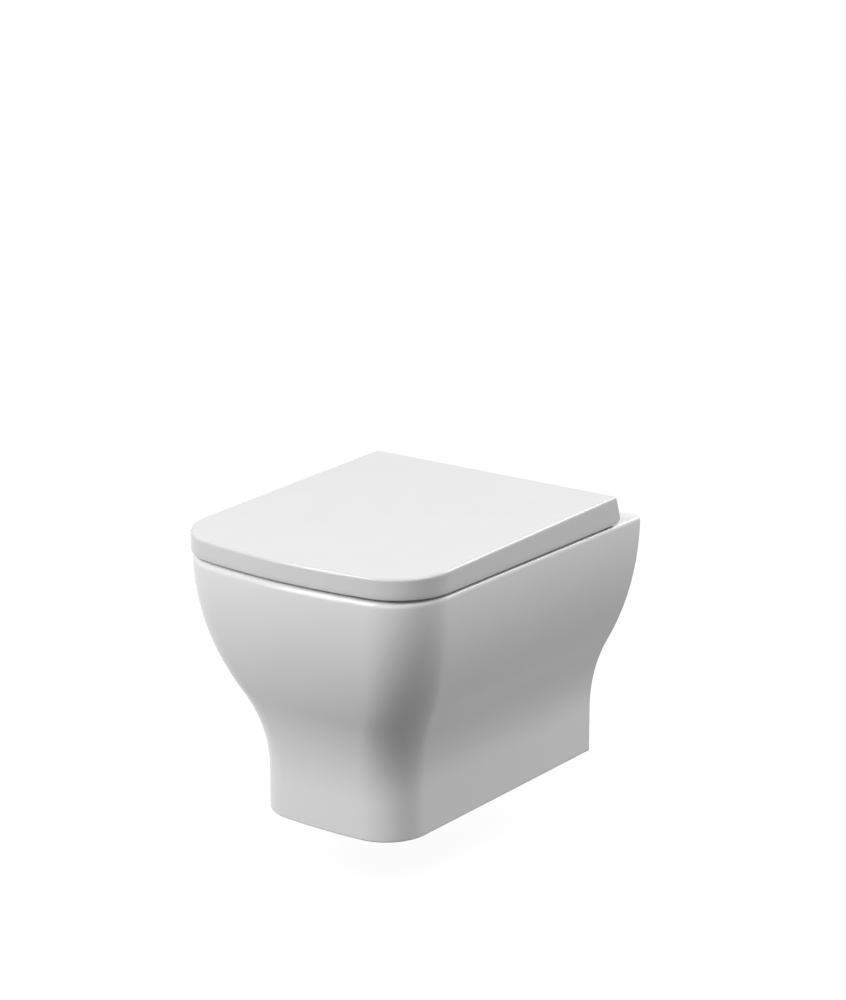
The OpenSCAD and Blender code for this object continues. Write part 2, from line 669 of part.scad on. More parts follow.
module lid_knuckle() {
    rod_x(lid_knuckle_x, -hinge_y, hinge_z, barrel_r, knuckle_w);
    side_sheet(lid_knuckle_x, knuckle_w, [[hinge_y - 6, hinge_z], [lid_back + 3, lid_h - lid_t + 0.5],
        [hinge_y + barrel_r, lid_h - lid_t + 0.5], [hinge_y + barrel_r, hinge_z]]);
}

module lid() color("white") at_rim() difference() {
    union() {
        difference() {
            lid_outside();
            difference() {
                lid_hollow();
                both_sides() for (p = lid_pads)
                    translate([p[0], -p[1], boss_z]) cylinder(h = lid_h, r = pad_r + 1.5, $fn = fine);
            }
            both_sides() slab(seat_knuckle_x - knuckle_w / 2 - knuckle_c, lid_knuckle_x - knuckle_w / 2,
                              lid_back + notch_far, lid_back - notch_near, -1, lid_h - lid_t - notch_skin);
        }
        both_sides() lid_knuckle();
    }
    both_sides() {
        rod_x(lid_knuckle_x, -hinge_y, hinge_z, cartridge_r + run_c, knuckle_w + 2);
        for (p = lid_pads)
            translate([p[0], -p[1], boss_z - 1]) cylinder(h = 2.8, r = pad_stem_r + run_c, $fn = fine);
    }
}

module lid_buffers() color("gainsboro") at_rim() both_sides()
    for (p = lid_pads) buffer(p, boss_z, boss_z - seat_top, pad_r, 0, 1.6);

module lid_damper() color("dimgray") at_rim() cartridge(lid_knuckle_x);
module lid_bush() color("dimgray") at_rim() cartridge(-lid_knuckle_x);

pan();
pan_bowl();
pan_trap();
pan_web();
stud_sleeves();
stud_washers();
stud_nuts();
hinge_gaskets();
anchor_bushes();
anchor_cones();
hinge_posts();
hinge_bolts();
hinge_blocks();
pivot_shafts();
shaft_screws();
left_release_spring();
right_release_spring();
left_release_button();
right_release_button();
seat_ring();
seat_buffers();
seat_damper();
seat_bush();
lid();
lid_buffers();
lid_damper();
lid_bush();
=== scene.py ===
import math
import bpy
import bmesh
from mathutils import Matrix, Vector


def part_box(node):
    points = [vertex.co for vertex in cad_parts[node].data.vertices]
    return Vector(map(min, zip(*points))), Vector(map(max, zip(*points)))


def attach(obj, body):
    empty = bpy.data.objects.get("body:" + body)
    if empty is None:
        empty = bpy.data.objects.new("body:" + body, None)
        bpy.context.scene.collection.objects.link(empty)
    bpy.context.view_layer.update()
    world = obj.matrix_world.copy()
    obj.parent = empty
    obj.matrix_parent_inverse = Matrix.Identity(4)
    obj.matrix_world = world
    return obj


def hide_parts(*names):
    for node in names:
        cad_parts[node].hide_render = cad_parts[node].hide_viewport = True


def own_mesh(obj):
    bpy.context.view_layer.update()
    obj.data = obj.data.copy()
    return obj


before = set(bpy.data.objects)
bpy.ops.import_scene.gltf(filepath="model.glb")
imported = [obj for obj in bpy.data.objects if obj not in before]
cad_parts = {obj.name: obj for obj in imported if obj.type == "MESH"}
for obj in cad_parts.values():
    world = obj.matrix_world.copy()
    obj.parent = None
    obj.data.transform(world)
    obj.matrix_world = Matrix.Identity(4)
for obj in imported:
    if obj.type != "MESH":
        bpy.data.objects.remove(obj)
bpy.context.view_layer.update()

# Sizes in millimetres, as in the solid model. Heights are above the rim, distances are from the wall, and what
# is round has its radius.
MM = 0.001
pan_low, pan_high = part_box("pan")
RIM_HEIGHT = pan_high.z / MM
RIM_HALF = pan_high.x / MM
PAN_REACH = -pan_low.y / MM
PAN_HEIGHT = (pan_high.z - pan_low.z) / MM

FOOT_HALF = 111.0
FOOT_REACH = 407.0
# Each flare is two arcs, which meet at this share of its height
SIDE_FLARE_HEIGHT = 262.0
SIDE_FLARE_TURN = 0.64
FRONT_FLARE_HEIGHT = 276.0
FRONT_FLARE_TURN = 0.61
RIM_BOW = 22.0
FOOT_BOW = 9.0
RIM_CORNER = 73.0
FOOT_CORNER = 57.0
# How much the sides draw in for each millimetre towards the front
TOE_IN = 1.6 / 300.0
SHELL_WALL = 12.0
HOLLOW_CORNER = 0.5
DECK = 16.0
# The rim rounds over a little wider at its front than along its sides
RIM_EDGE_SIDE = 5.0
RIM_EDGE_FRONT = 8.0
FOOT_EDGE = 2.0
WALL_CORNER = 2.0

BOWL_DEPTH = 286.0
BOWL_WALL = 10.0
# How the bowl narrows with depth, and how square it is at the sump and at the rim
BOWL_POWER = 1.9
BOWL_SQUARE = (2.3, 2.8)
BOWL_LIP = 8.0
BOWL_RIM_SIDE = 49.0
BOWL_RIM_FRONT = 46.0
BOWL_RIM_REAR = 142.0
SUMP_HALF = 44.0
SUMP_HALF_LENGTH = 47.0
SUMP_AT = 275.0
SUMP_ROUND = 22.0
# The sump rounds between these angles, and its outlines are read from just above their own depth
SUMP_FROM = math.radians(75.5)
SUMP_TO = math.radians(6)
SUMP_READ = 0.999

TRAP_BORE = 34.0
TRAP_WALL = 9.0
TRAP_RISE = math.radians(50)
TRAP_FALL = math.radians(30)
WEIR_RISE = 37.0
WEIR_BEND = 55.0
OUTLET_BEND = 60.0
OUTLET_RUN = 6.0
STUD_Z = -88.0
OUTLET_Z = STUD_Z - 100.0
INLET_Z = STUD_Z + 35.0
STUD_X = 90.0
SLEEVE_HOLE = 10.0
WEB = 22.0
WEB_DROP = 25.0
SPIGOT = 51.0
SPIGOT_BORE = 42.0
SPIGOT_SET = 8.0
SPIGOT_PAST = 12.0
INLET = 27.5
INLET_DEPTH = 45.0
SOCKET_WALL = 12.0
SOCKET_END = 7.0
CHANNEL = 18.0
CHANNEL_WALL = 8.0
CHANNEL_END = 6.0
MOUTH_EDGE = 1.5
HOLE_EDGE = 0.8
# How far joined pieces run into each other, and how far a cutting tool stands out of what it cuts
LAP = 1.0
STAND_OUT = 3.0

# Seat holes, hinge axis and its knuckles
HOLE_X = 77.5
HOLE_AT = 84.0
SEAT_HOLE = 7.5
HINGE_AT = 62.0
HINGE_Z = 24.5
BARREL = 7.0
BARREL_EDGE = 0.6
CARTRIDGE_BORE = 5.05
KNUCKLE = 16.0
SEAT_KNUCKLE_X = 52.0
LID_KNUCKLE_X = 103.0

SEAT_HALF = 176.4
SEAT_REACH = 471.9
SEAT_BACK = 88.0
SEAT_CORNER = 69.5
SEAT_UNDER = 5.0
SEAT_TOP = 21.0
SEAT_EDGE = 6.0
SEAT_FOOT_EDGE = 1.5
SEAT_REAR_CORNER = 4.0
SEAT_LEAST_CORNER = 0.5
SEAT_STAND_OUT = 2.0
SEAT_ARM_EDGE = 0.5
# Room in the seat for the hinge blocks
BLOCK_ROOM_X = (60.0, 95.0)
BLOCK_ROOM_FAR = 106.0
OPENING_HALF = 112.5
OPENING_FRONT = 416.0
OPENING_REAR = 152.0
OPENING_SQUARE = 2.5
OPENING_EDGE = 7.0

LID_HALF = 181.5
LID_REACH = 477.0
LID_TOP = 38.4
LID_FALL = 7.2 / 300.0
LID_BACK = 57.5
LID_LEAN = 10.0
LID_WALL = 3.5
LID_GAP = 3.0
LID_EDGE = 4.0
LID_ROUND_HEIGHT = 7.0
LID_ROUND_WIDTH = 9.0
LID_FOOT_INSET = 0.8
LID_INNER_EDGE = 3.0
LID_REAR_CORNER = 3.0
LID_LEAST_CORNER = 0.4
LID_ARM_EDGE = 0.4
# Notch in the lid for the hinge blocks: how far it reaches on both sides of the lid's back edge
NOTCH_FAR = 12.0
NOTCH_NEAR = 20.0
NOTCH_TOP_GAP = 0.3

# Pads: their places are distances from the middle and from the wall
PAD = 7.0
PAD_EDGE = 1.2
PAD_STEM = 3.0
PAD_STEM_HOLE = 3.05
SEAT_PADS = ((140.0, 180.0), (128.0, 385.0))
LID_PADS = ((142.0, 205.0), (127.0, 372.0))
LID_PAD_Z = 24.6
SEAT_PAD_SLOT = 6.0
SEAT_STEM = 4.5
SEAT_STEM_ROOM = 5.0
LID_STEM = 1.6
LID_STEM_ROOM = 1.8
BOSS = PAD + 1.5
BOSS_EDGE = 0.6
BOSS_LAP = 1.5

# Release springs, with the radius of their wire and the end that rests on the post, in metres
SPRING_TURNS = 7.5
WIRE = 0.00028

# How deep the ground face at the wall and the foot's edge show the bare china, in metres
GROUND_WALL = 0.0003
GROUND_FOOT = 0.0012
BARE_CHINA = (0.82, 0.8, 0.765, 1)
BARE_ROUGHNESS = 0.72

# Points closer than this become one, in metres
WELD = 2e-6
COPY_WELD = 1e-6
# Faces that turn by less than this are one flat face
FLAT = math.radians(0.5)

# How finely outlines and edges are drawn, and at which distances from the face where an edge rounds over
FRONT_STEPS = 28
CORNER_STEPS = 26
SIDE_STEPS = 10
BACK_CORNER_STEPS = 4
BACK_STEPS = 6
OVAL_STEPS = 144
ROUND_STEPS = 96
TRAP_STEPS = 64
WEIR_STEPS = 16
OUTLET_STEPS = 8
PAN_STEPS = 84
HOLLOW_STEPS = 60
BOWL_STEPS = 64
BOWL_WALL_STEPS = 40
SUMP_STEPS = 12
BARREL_STEPS = 64
BOSS_STEPS = 48
STEM_STEPS = 32
SMALL_EDGE_STEPS = 4
MOUTH_STEPS = 5
SEAT_EDGE_STEPS = 10
LID_FOOT_STEPS = 12
LID_SIDE_STEPS = 5
LID_EDGE_STEPS = 8
LID_INNER_STEPS = 5
RIM_LEVELS = (0, 0.1, 0.3, 0.65, 1.15, 1.8, 2.6, 3.6, 4.8, 6.2)
FOOT_LEVELS = (1.3, 0.75, 0.35, 0.1, 0)
LIP_LEVELS = (7.9, 6.4, 4.9, 3.6, 2.5, 1.6, 0.9, 0.4, 0.1, 0)


# Outlines
def spaced(start, stop, steps):
    """Evenly spaced values, with both ends."""
    return [start + (stop - start) * k / steps for k in range(steps + 1)]


def smooth_step(t):
    return t * t * (3 - 2 * t)


def quarter_round(radius, steps):
    """Inset and distance from the face, along an edge that rounds from a side into a face."""
    return [(radius * (1 - math.cos(a)), radius * (1 - math.sin(a))) for a in spaced(0, math.pi / 2, steps)]


def edge_inset(t, radius):
    """How far a rounded edge of this radius lies in, at a distance t from the flat face it runs into."""
    t = max(t, 0.0)
    return 0.0 if t >= radius else radius - math.sqrt(radius * radius - (radius - t) ** 2)


def flare(depth, wide, narrow, height, turn):
    """Half width or reach at a depth below the rim: two tangent arcs between two sizes."""
    angle = 2 * math.atan((wide - narrow) / height)
    both = height / math.sin(angle)
    upper = both * turn
    lower = both - upper
    if depth <= 0:
        return wide
    if depth < height * turn:
        return wide - upper + math.sqrt(upper * upper - depth * depth)
    if depth < height:
        return narrow + lower - math.sqrt(lower * lower - (height - depth) ** 2)
    return narrow


def d_outline(half_width, reach, bow, corner, back, back_corner):
    """Straight sides, round front corners and a bowed front, anticlockwise from the middle of the front."""
    wide = half_width - TOE_IN * (reach - corner)
    front_r = (wide * wide + bow * bow) / (2 * bow)
    front_y = front_r - reach
    corner_y = front_y - math.sqrt((front_r - corner) ** 2 - (wide - corner) ** 2)
    turn = math.atan2(corner_y - front_y, wide - corner)
    half = [(front_r * math.cos(a), front_y + front_r * math.sin(a))
            for a in spaced(-math.pi / 2, turn, FRONT_STEPS)]
    half[0] = (0.0, -reach)
    half += [(wide - corner + corner * math.cos(a), corner_y + corner * math.sin(a))
             for a in spaced(turn, 0, CORNER_STEPS)[1:]]
    end = back - back_corner
    half += [(wide + (half_width - wide) * k / SIDE_STEPS, corner_y + (end - corner_y) * k / SIDE_STEPS)
             for k in range(1, SIDE_STEPS + 1)]
    half += [(half_width - back_corner * (1 - math.cos(a)), end + back_corner * math.sin(a))
             for a in spaced(0, math.pi / 2, BACK_CORNER_STEPS)[1:]]
    half += [((half_width - back_corner) * (1 - k / BACK_STEPS), back) for k in range(1, BACK_STEPS + 1)]
    return half + [(-x, y) for x, y in reversed(half[1:-1])]


def front_share():
    """For each point of d_outline, 1 along the front, 0 along the sides and between them round the corner."""
    half = [1.0] * (FRONT_STEPS + 1)
    half += [1 - smooth_step(k / CORNER_STEPS) for k in range(1, CORNER_STEPS + 1)]
    half += [0.0] * (SIDE_STEPS + BACK_CORNER_STEPS + BACK_STEPS)
    return half + list(reversed(half[1:-1]))


def oval(half_width, front, rear, square):
    """Outline between an ellipse, at 2, and a rounded box, at more."""
    def power(value):
        return math.copysign(abs(value) ** (2 / square), value)
    return [(half_width * power(math.cos(a)), -(front + rear) / 2 + (front - rear) / 2 * power(math.sin(a)))
            for a in spaced(0, 2 * math.pi, OVAL_STEPS)[:-1]]


def level(outline, z):
    return [(x, y, z) for x, y in outline]


# Meshes
def place(point):
    """Millimetres from the rim and the wall, turned into metres in the frame."""
    x, y, z = point
    return (x * MM, y * MM, (z + RIM_HEIGHT) * MM)


def new_object(name, data):
    made = bpy.data.objects.new(name, data)
    bpy.context.scene.collection.objects.link(made)
    return made


def skin(name, rings):
    """Closed skin through equal rings, with both ends closed and its faces outwards."""
    count = len(rings[0])
    mesh = bpy.data.meshes.new(name)
    points = [place(p) for ring in rings for p in ring]
    faces = []
    for r in range(len(rings) - 1):
        for k in range(count):
            n = (k + 1) % count
            faces.append((r * count + k, r * count + n, (r + 1) * count + n, (r + 1) * count + k))
    faces.append(tuple(reversed(range(count))))
    faces.append(tuple(range((len(rings) - 1) * count, len(rings) * count)))
    mesh.from_pydata(points, [], faces)
    face_outwards(mesh)
    return new_object(name, mesh)


def face_outwards(mesh):
    work = bmesh.new()
    work.from_mesh(mesh)
    bmesh.ops.recalc_face_normals(work, faces=work.faces)
    work.to_mesh(mesh)
    work.free()


def turned(name, axis, centre, profile, steps=ROUND_STEPS):
    """Body of revolution: profile holds places along the axis and radii there."""
    rings = []
    for along, radius in profile:
        ring = []
        for a in spaced(0, 2 * math.pi, steps)[:-1]:
            point = [centre[0] + radius * math.cos(a), centre[1] + radius * math.sin(a)]
            point.insert("XYZ".index(axis), along)
            ring.append(tuple(point))
        rings.append(ring)
    return skin(name, rings)


def rod(name, axis, centre, start, stop, radius, steps=ROUND_STEPS):
    """Plain round rod, or the tool for a plain bore."""
    return turned(name, axis, centre, [(start, radius), (stop, radius)], steps)


def eased_start(start, radius, ease):
    """Profile of the near end of a rod, with a rounded rim."""
    return [(start + drop, radius - inset) for inset, drop in reversed(quarter_round(ease, SMALL_EDGE_STEPS))]


def eased_ends(start, stop, radius, ease):
    """Profile of a rod with rounded rims at both ends."""
    far = [(stop - drop, radius - inset) for inset, drop in quarter_round(ease, SMALL_EDGE_STEPS)]
    return eased_start(start, radius, ease) + far


def open_mouth(inside, face, radius, ease, beyond):
    """Profile of a bore that rounds outwards at the face it opens through."""
    way = 1 if face > inside else -1
    mouth = [(face - way * drop, radius + inset) for inset, drop in quarter_round(ease, MOUTH_STEPS)]
    return [(inside, radius)] + mouth + [(face + way * beyond, radius + ease)]


def slab(name, x, y, z):
    """Block between two places along each direction, where x may run either way."""
    left, right = sorted(x)
    ring = [(left, y[0]), (right, y[0]), (right, y[1]), (left, y[1])]
    return skin(name, [level(ring, z[0]), level(ring, z[1])])


def settle(made):
    """Turns an object's modifiers into plain mesh."""
    seen = made.evaluated_get(bpy.context.evaluated_depsgraph_get())
    mesh = bpy.data.meshes.new_from_object(seen)
    old = made.data
    made.modifiers.clear()
    made.data = mesh
    mesh.name = made.name
    bpy.data.meshes.remove(old)


def ease_edges(made, width, segments, least_angle):
    """Rounds the edges that turn by more than an angle."""
    soften = made.modifiers.new("soften", "BEVEL")
    soften.width = width * MM
    soften.segments = segments
    soften.limit_method = "ANGLE"
    soften.angle_limit = math.radians(least_angle)
    settle(made)


def drop(made):
    mesh = made.data
    bpy.data.objects.remove(made)
    bpy.data.meshes.remove(mesh)


def carve(body, tools, how="DIFFERENCE"):
    """Takes closed tools away from a closed body, or adds them to it, one after another."""
    for tool in tools:
        step = body.modifiers.new("carve", "BOOLEAN")
        step.operation = how
        step.solver = "MANIFOLD"
        step.object = tool
        settle(body)
        if not body.data.polygons:
            raise RuntimeError("nothing is left of " + body.name + " after " + tool.name)
        drop(tool)
    return body


def mirrored(make):
    """The same tool on the right and on the left."""
    return [make(1), make(-1)]


def dress(made, material, body, nodes, crease=32):
    """Smooth faces with creases, one material, and its place in the frame."""
    mesh = made.data
    mesh.materials.clear()
    mesh.materials.append(material)
    work = bmesh.new()
    work.from_mesh(mesh)
    bmesh.ops.remove_doubles(work, verts=work.verts, dist=WELD)
    bmesh.ops.dissolve_degenerate(work, edges=work.edges, dist=WELD)
    for face in work.faces:
        face.smooth = True
        face.material_index = 0
    work.to_mesh(mesh)
    work.free()
    mesh.set_sharp_from_angle(angle=math.radians(crease))
    shade = made.modifiers.new("shade", "WEIGHTED_NORMAL")
    shade.keep_sharp = True
    shade.weight = 100
    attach(made, body)
    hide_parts(*nodes)
    return made


# Shared shader groups
def feed(tree, socket, value):
    """Gives a socket a fixed value, or what another socket puts out."""
    if isinstance(value, bpy.types.NodeSocket):
        tree.links.new(value, socket)
    else:
        socket.default_value = value


def add_node(tree, kind, *values, operation=None):
    """New node, with fixed values or what other sockets put out on its inputs, in their order."""
    made = tree.nodes.new(kind)
    if operation:
        made.operation = operation
    for socket, value in zip(made.inputs, values):
        feed(tree, socket, value)
    return made


def maths(tree, operation, *values):
    return add_node(tree, "ShaderNodeMath", *values, operation=operation).outputs[0]


def vectors(tree, operation, *values, scale=None):
    made = add_node(tree, "ShaderNodeVectorMath", *values, operation=operation)
    if scale is not None:
        feed(tree, made.inputs["Scale"], scale)
    return made.outputs[0]


def blend_of(tree, kind, share, first, second):
    """Mix of two values or two colours."""
    made = tree.nodes.new("ShaderNodeMix")
    made.data_type = kind
    a, b, result = (6, 7, 2) if kind == "RGBA" else (2, 3, 0)
    for at, value in ((0, share), (a, first), (b, second)):
        feed(tree, made.inputs[at], value)
    return made.outputs[result]


def group_start(name, inputs, outputs):
    """Empty shader group with named sockets; inputs are name, kind and starting value."""
    tree = bpy.data.node_groups.new(name, "ShaderNodeTree")
    for label, kind, value in inputs:
        socket = tree.interface.new_socket(label, in_out="INPUT", socket_type="NodeSocket" + kind)
        socket.default_value = value
    for label, kind in outputs:
        tree.interface.new_socket(label, in_out="OUTPUT", socket_type="NodeSocket" + kind)
    return tree, tree.nodes.new("NodeGroupInput"), tree.nodes.new("NodeGroupOutput")


def noise(tree, vector, scale, detail, roughness=0.5):
    made = tree.nodes.new("ShaderNodeTexNoise")
    for label, given in {"Vector": vector, "Scale": scale, "Detail": detail, "Roughness": roughness}.items():
        feed(tree, made.inputs[label], given)
    return made.outputs["Fac"]


def spread(tree, value, low, high, start=0.35, stop=0.65):
    """Stretches start to stop, which is the middle of a noise if not given, over the range from low to high."""
    made = tree.nodes.new("ShaderNodeMapRange")
    sockets = {"Value": value, "From Min": start, "From Max": stop, "To Min": low, "To Max": high}
    for label, given in sockets.items():
        feed(tree, made.inputs[label], given)
    return made.outputs["Result"]


def here(tree):
    """Place on the object, in its own coordinates."""
    return tree.nodes.new("ShaderNodeTexCoord").outputs["Object"]


def make_patches():
    """Slow change of a value over a surface, such as how well it was polished."""
    inputs = [("Scale", "Float", 20.0), ("Low", "Float", 0.1), ("High", "Float", 0.2)]
    tree, given, out = group_start("patches", inputs, [("Value", "Float")])
    found = noise(tree, here(tree), given.outputs["Scale"], detail=4.0, roughness=0.55)
    tree.links.new(spread(tree, found, given.outputs["Low"], given.outputs["High"]), out.inputs["Value"])
    return tree


def make_cloud():
    """Two close colours that drift into each other."""
    inputs = [("First", "Color", (1, 1, 1, 1)), ("Second", "Color", (1, 1, 1, 1)), ("Scale", "Float", 8.0)]
    tree, given, out = group_start("cloud", inputs, [("Color", "Color")])
    share = spread(tree, noise(tree, here(tree), given.outputs["Scale"], detail=3.0), 0.0, 1.0)
    colour = blend_of(tree, "RGBA", share, given.outputs["First"], given.outputs["Second"])
    tree.links.new(colour, out.inputs["Color"])
    return tree


def make_ripple():
    """Height of a surface that set from a liquid: long waves with a finer peel on them."""
    inputs = [("Wave", "Float", 14.0), ("Peel", "Float", 260.0), ("Peel Share", "Float", 0.2)]
    tree, given, out = group_start("ripple", inputs, [("Height", "Float")])
    spot = here(tree)
    wave = noise(tree, spot, given.outputs["Wave"], detail=1.0)
    peel = noise(tree, spot, given.outputs["Peel"], detail=2.0)
    tree.links.new(blend_of(tree, "FLOAT", given.outputs["Peel Share"], wave, peel), out.inputs["Height"])
    return tree


def make_lay():
    """Fine lines of turning or brushing, stretched along one direction of the object."""
    inputs = [("Stretch", "Vector", (1.0, 1.0, 1.0)), ("Low", "Float", 0.2), ("High", "Float", 0.4)]
    tree, given, out = group_start("lay", inputs, [("Value", "Float"), ("Height", "Float")])
    stretched = vectors(tree, "MULTIPLY", here(tree), given.outputs["Stretch"])
    lines = noise(tree, stretched, 1.0, detail=5.0, roughness=0.65)
    tree.links.new(spread(tree, lines, given.outputs["Low"], given.outputs["High"]), out.inputs["Value"])
    tree.links.new(lines, out.inputs["Height"])
    return tree


PATCHES = make_patches()
CLOUD = make_cloud()
RIPPLE = make_ripple()
LAY = make_lay()


# Materials
def put(tree, group, **values):
    """Places a shared group in a material with the material's own values."""
    made = tree.nodes.new("ShaderNodeGroup")
    made.node_tree = group
    for label, value in values.items():
        made.inputs[label.replace("_", " ")].default_value = value
    return made


def material_start(name, constants):
    """New material: its tree and its Principled shader, with the values that are the same all over."""
    made = bpy.data.materials.new(name)
    made.use_nodes = True
    shader = made.node_tree.nodes["Principled BSDF"]
    for label, value in constants.items():
        shader.inputs[label].default_value = value
    return made, made.node_tree, shader


def raise_by(tree, shader, height, distance, strength):
    bump = tree.nodes.new("ShaderNodeBump")
    bump.inputs["Strength"].default_value = strength
    bump.inputs["Distance"].default_value = distance
    tree.links.new(height, bump.inputs["Height"])
    tree.links.new(bump.outputs["Normal"], shader.inputs["Normal"])


def make_glaze():
    """White glaze on vitreous china. The ground face at the wall and the foot's edge show the bare body."""
    made, tree, shader = material_start("white_glaze", {"IOR": 1.5})
    spot = add_node(tree, "ShaderNodeSeparateXYZ", here(tree)).outputs
    wall_side = maths(tree, "GREATER_THAN", spot["Y"], -GROUND_WALL)
    foot_side = maths(tree, "LESS_THAN", spot["Z"], pan_low.z + GROUND_FOOT)
    bare = maths(tree, "MAXIMUM", wall_side, foot_side)
    cloud = put(tree, CLOUD, First=(0.905, 0.905, 0.9, 1), Second=(0.885, 0.888, 0.885, 1), Scale=7.0)
    patches = put(tree, PATCHES, Scale=24.0, Low=0.05, High=0.085)
    ripple = put(tree, RIPPLE, Wave=16.0, Peel=240.0, Peel_Share=0.12)
    colour = blend_of(tree, "RGBA", bare, cloud.outputs[0], BARE_CHINA)
    polish = blend_of(tree, "FLOAT", bare, patches.outputs[0], BARE_ROUGHNESS)
    tree.links.new(colour, shader.inputs["Base Color"])
    tree.links.new(polish, shader.inputs["Roughness"])
    raise_by(tree, shader, ripple.outputs[0], distance=0.0004, strength=0.35)
    return made


def make_finish(name, first, second, low, high, metallic=0.0, patch=40.0, wave=30.0, peel=500.0,
                peel_share=0.3, depth=0.00005, strength=0.4, constants=None):
    """Moulded, plated or rubber finish: two close colours, patches of polish and a fine skin."""
    values = {"Metallic": metallic, "IOR": 1.5}
    values.update(constants or {})
    made, tree, shader = material_start(name, values)
    cloud = put(tree, CLOUD, First=(*first, 1), Second=(*second, 1), Scale=patch / 3)
    patches = put(tree, PATCHES, Scale=patch, Low=low, High=high)
    ripple = put(tree, RIPPLE, Wave=wave, Peel=peel, Peel_Share=peel_share)
    tree.links.new(cloud.outputs[0], shader.inputs["Base Color"])
    tree.links.new(patches.outputs[0], shader.inputs["Roughness"])
    raise_by(tree, shader, ripple.outputs[0], depth, strength)
    return made


def make_worked_metal(name, first, second, low, high, stretch, depth):
    """Turned or brushed metal, with its lines along one direction."""
    made, tree, shader = material_start(name, {"Metallic": 1.0})
    cloud = put(tree, CLOUD, First=(*first, 1), Second=(*second, 1), Scale=60.0)
    lay = put(tree, LAY, Stretch=stretch, Low=low, High=high)
    tree.links.new(cloud.outputs[0], shader.inputs["Base Color"])
    tree.links.new(lay.outputs["Value"], shader.inputs["Roughness"])
    raise_by(tree, shader, lay.outputs["Height"], depth, strength=0.5)
    return made


GLAZE = make_glaze()
SEAT_WHITE = make_finish("seat_gloss_white", (0.76, 0.76, 0.763), (0.744, 0.746, 0.749), 0.09, 0.14,
                         wave=9.0, peel=420.0, peel_share=0.1, depth=0.0002, strength=0.3)
CHROME = make_finish("bright_chrome", (0.8, 0.81, 0.82), (0.76, 0.77, 0.79), 0.05, 0.13, metallic=1.0,
                     patch=120.0, depth=0.00002, strength=0.2)
ZINC_TURNED = make_worked_metal("zinc_turned", (0.6, 0.6, 0.6), (0.5, 0.51, 0.53), 0.24, 0.42,
                                (4000, 500, 500), 0.00003)
ZINC_FACED = make_worked_metal("zinc_faced", (0.62, 0.62, 0.6), (0.53, 0.54, 0.54), 0.26, 0.45,
                               (300, 5000, 300), 0.00003)
SPRING_WIRE = make_worked_metal("spring_wire", (0.5, 0.5, 0.5), (0.4, 0.4, 0.41), 0.2, 0.35,
                                (2500, 2500, 2500), 0.00001)
BRASS = make_worked_metal("turned_brass", (0.72, 0.53, 0.25), (0.62, 0.44, 0.2), 0.2, 0.36,
                          (300, 300, 5000), 0.00003)
RUBBER = make_finish("black_rubber", (0.03, 0.03, 0.031), (0.045, 0.045, 0.045), 0.62, 0.82, patch=90.0,
                     peel=2200.0, peel_share=0.7, depth=0.00008, strength=0.7)
PAD_RUBBER = make_finish("pale_pad_rubber", (0.72, 0.72, 0.7), (0.66, 0.66, 0.64), 0.4, 0.55, patch=110.0,
                         peel=1500.0, peel_share=0.5, depth=0.00005,
                         constants={"Subsurface Weight": 0.15, "Subsurface Scale": 0.003})
NYLON = make_finish("natural_nylon", (0.8, 0.79, 0.73), (0.75, 0.73, 0.67), 0.38, 0.5, patch=80.0,
                    peel=900.0, peel_share=0.5, depth=0.00004)
ACETAL = make_finish("dark_acetal", (0.028, 0.028, 0.03), (0.04, 0.04, 0.042), 0.3, 0.42, patch=140.0,
                     peel=1200.0, peel_share=0.5, depth=0.00003)


# Glazed pan
FRONT_SHARE = front_share()


def pan_outline(depth, inset, back, back_corner):
    half = flare(depth, RIM_HALF, FOOT_HALF, SIDE_FLARE_HEIGHT, SIDE_FLARE_TURN)
    reach = flare(depth, PAN_REACH, FOOT_REACH, FRONT_FLARE_HEIGHT, FRONT_FLARE_TURN)
    share = (half - FOOT_HALF) / (RIM_HALF - FOOT_HALF)
    return d_outline(half - inset, reach - inset, FOOT_BOW + (RIM_BOW - FOOT_BOW) * share,
                     FOOT_CORNER + (RIM_CORNER - FOOT_CORNER) * share - inset, back, back_corner)


def rounded_ring(depth):
    """Outline of the shell at a depth, drawn in where the rim and the foot round over."""
    foot = edge_inset(PAN_HEIGHT - depth, FOOT_EDGE)
    side = pan_outline(depth, edge_inset(depth, RIM_EDGE_SIDE) + foot, 0.0, WALL_CORNER)
    front = pan_outline(depth, edge_inset(depth, RIM_EDGE_FRONT) + foot, 0.0, WALL_CORNER)
    return [(sx + (fx - sx) * w, sy + (fy - sy) * w) for (sx, sy), (fx, fy), w in zip(side, front, FRONT_SHARE)]


def bowl_outline(depth, share, grow):
    """Outline of the bowl at a depth, with a share of its size and grown by a wall."""
    s = 1 - (depth / BOWL_DEPTH) ** BOWL_POWER
    half = SUMP_HALF + (RIM_HALF - BOWL_RIM_SIDE - SUMP_HALF) * s
    low_front, low_rear = SUMP_AT + SUMP_HALF_LENGTH, SUMP_AT - SUMP_HALF_LENGTH
    front = low_front + (PAN_REACH - BOWL_RIM_FRONT - low_front) * s
    rear = low_rear + (BOWL_RIM_REAR - low_rear) * s
    mid, reach = (front + rear) / 2, (front - rear) / 2
    return oval(half * share + grow, mid + reach * share + grow, mid - reach * share - grow,
                BOWL_SQUARE[0] + (BOWL_SQUARE[1] - BOWL_SQUARE[0]) * s)


def bowl(name, grow, top_rings, levels):
    """Bowl from its sump up to the lip, closed by the rings that are given."""
    deep = BOWL_DEPTH - SUMP_ROUND
    rings = [level(bowl_outline(deep + SUMP_ROUND * math.sin(a) * SUMP_READ, math.cos(a), grow),
                   -deep - (SUMP_ROUND + grow) * math.sin(a)) for a in spaced(SUMP_FROM, SUMP_TO, SUMP_STEPS)]
    rings += [level(bowl_outline(d, 1, grow), -d) for d in spaced(deep, BOWL_LIP, levels)[:-1]]
    return skin(name, rings + top_rings)


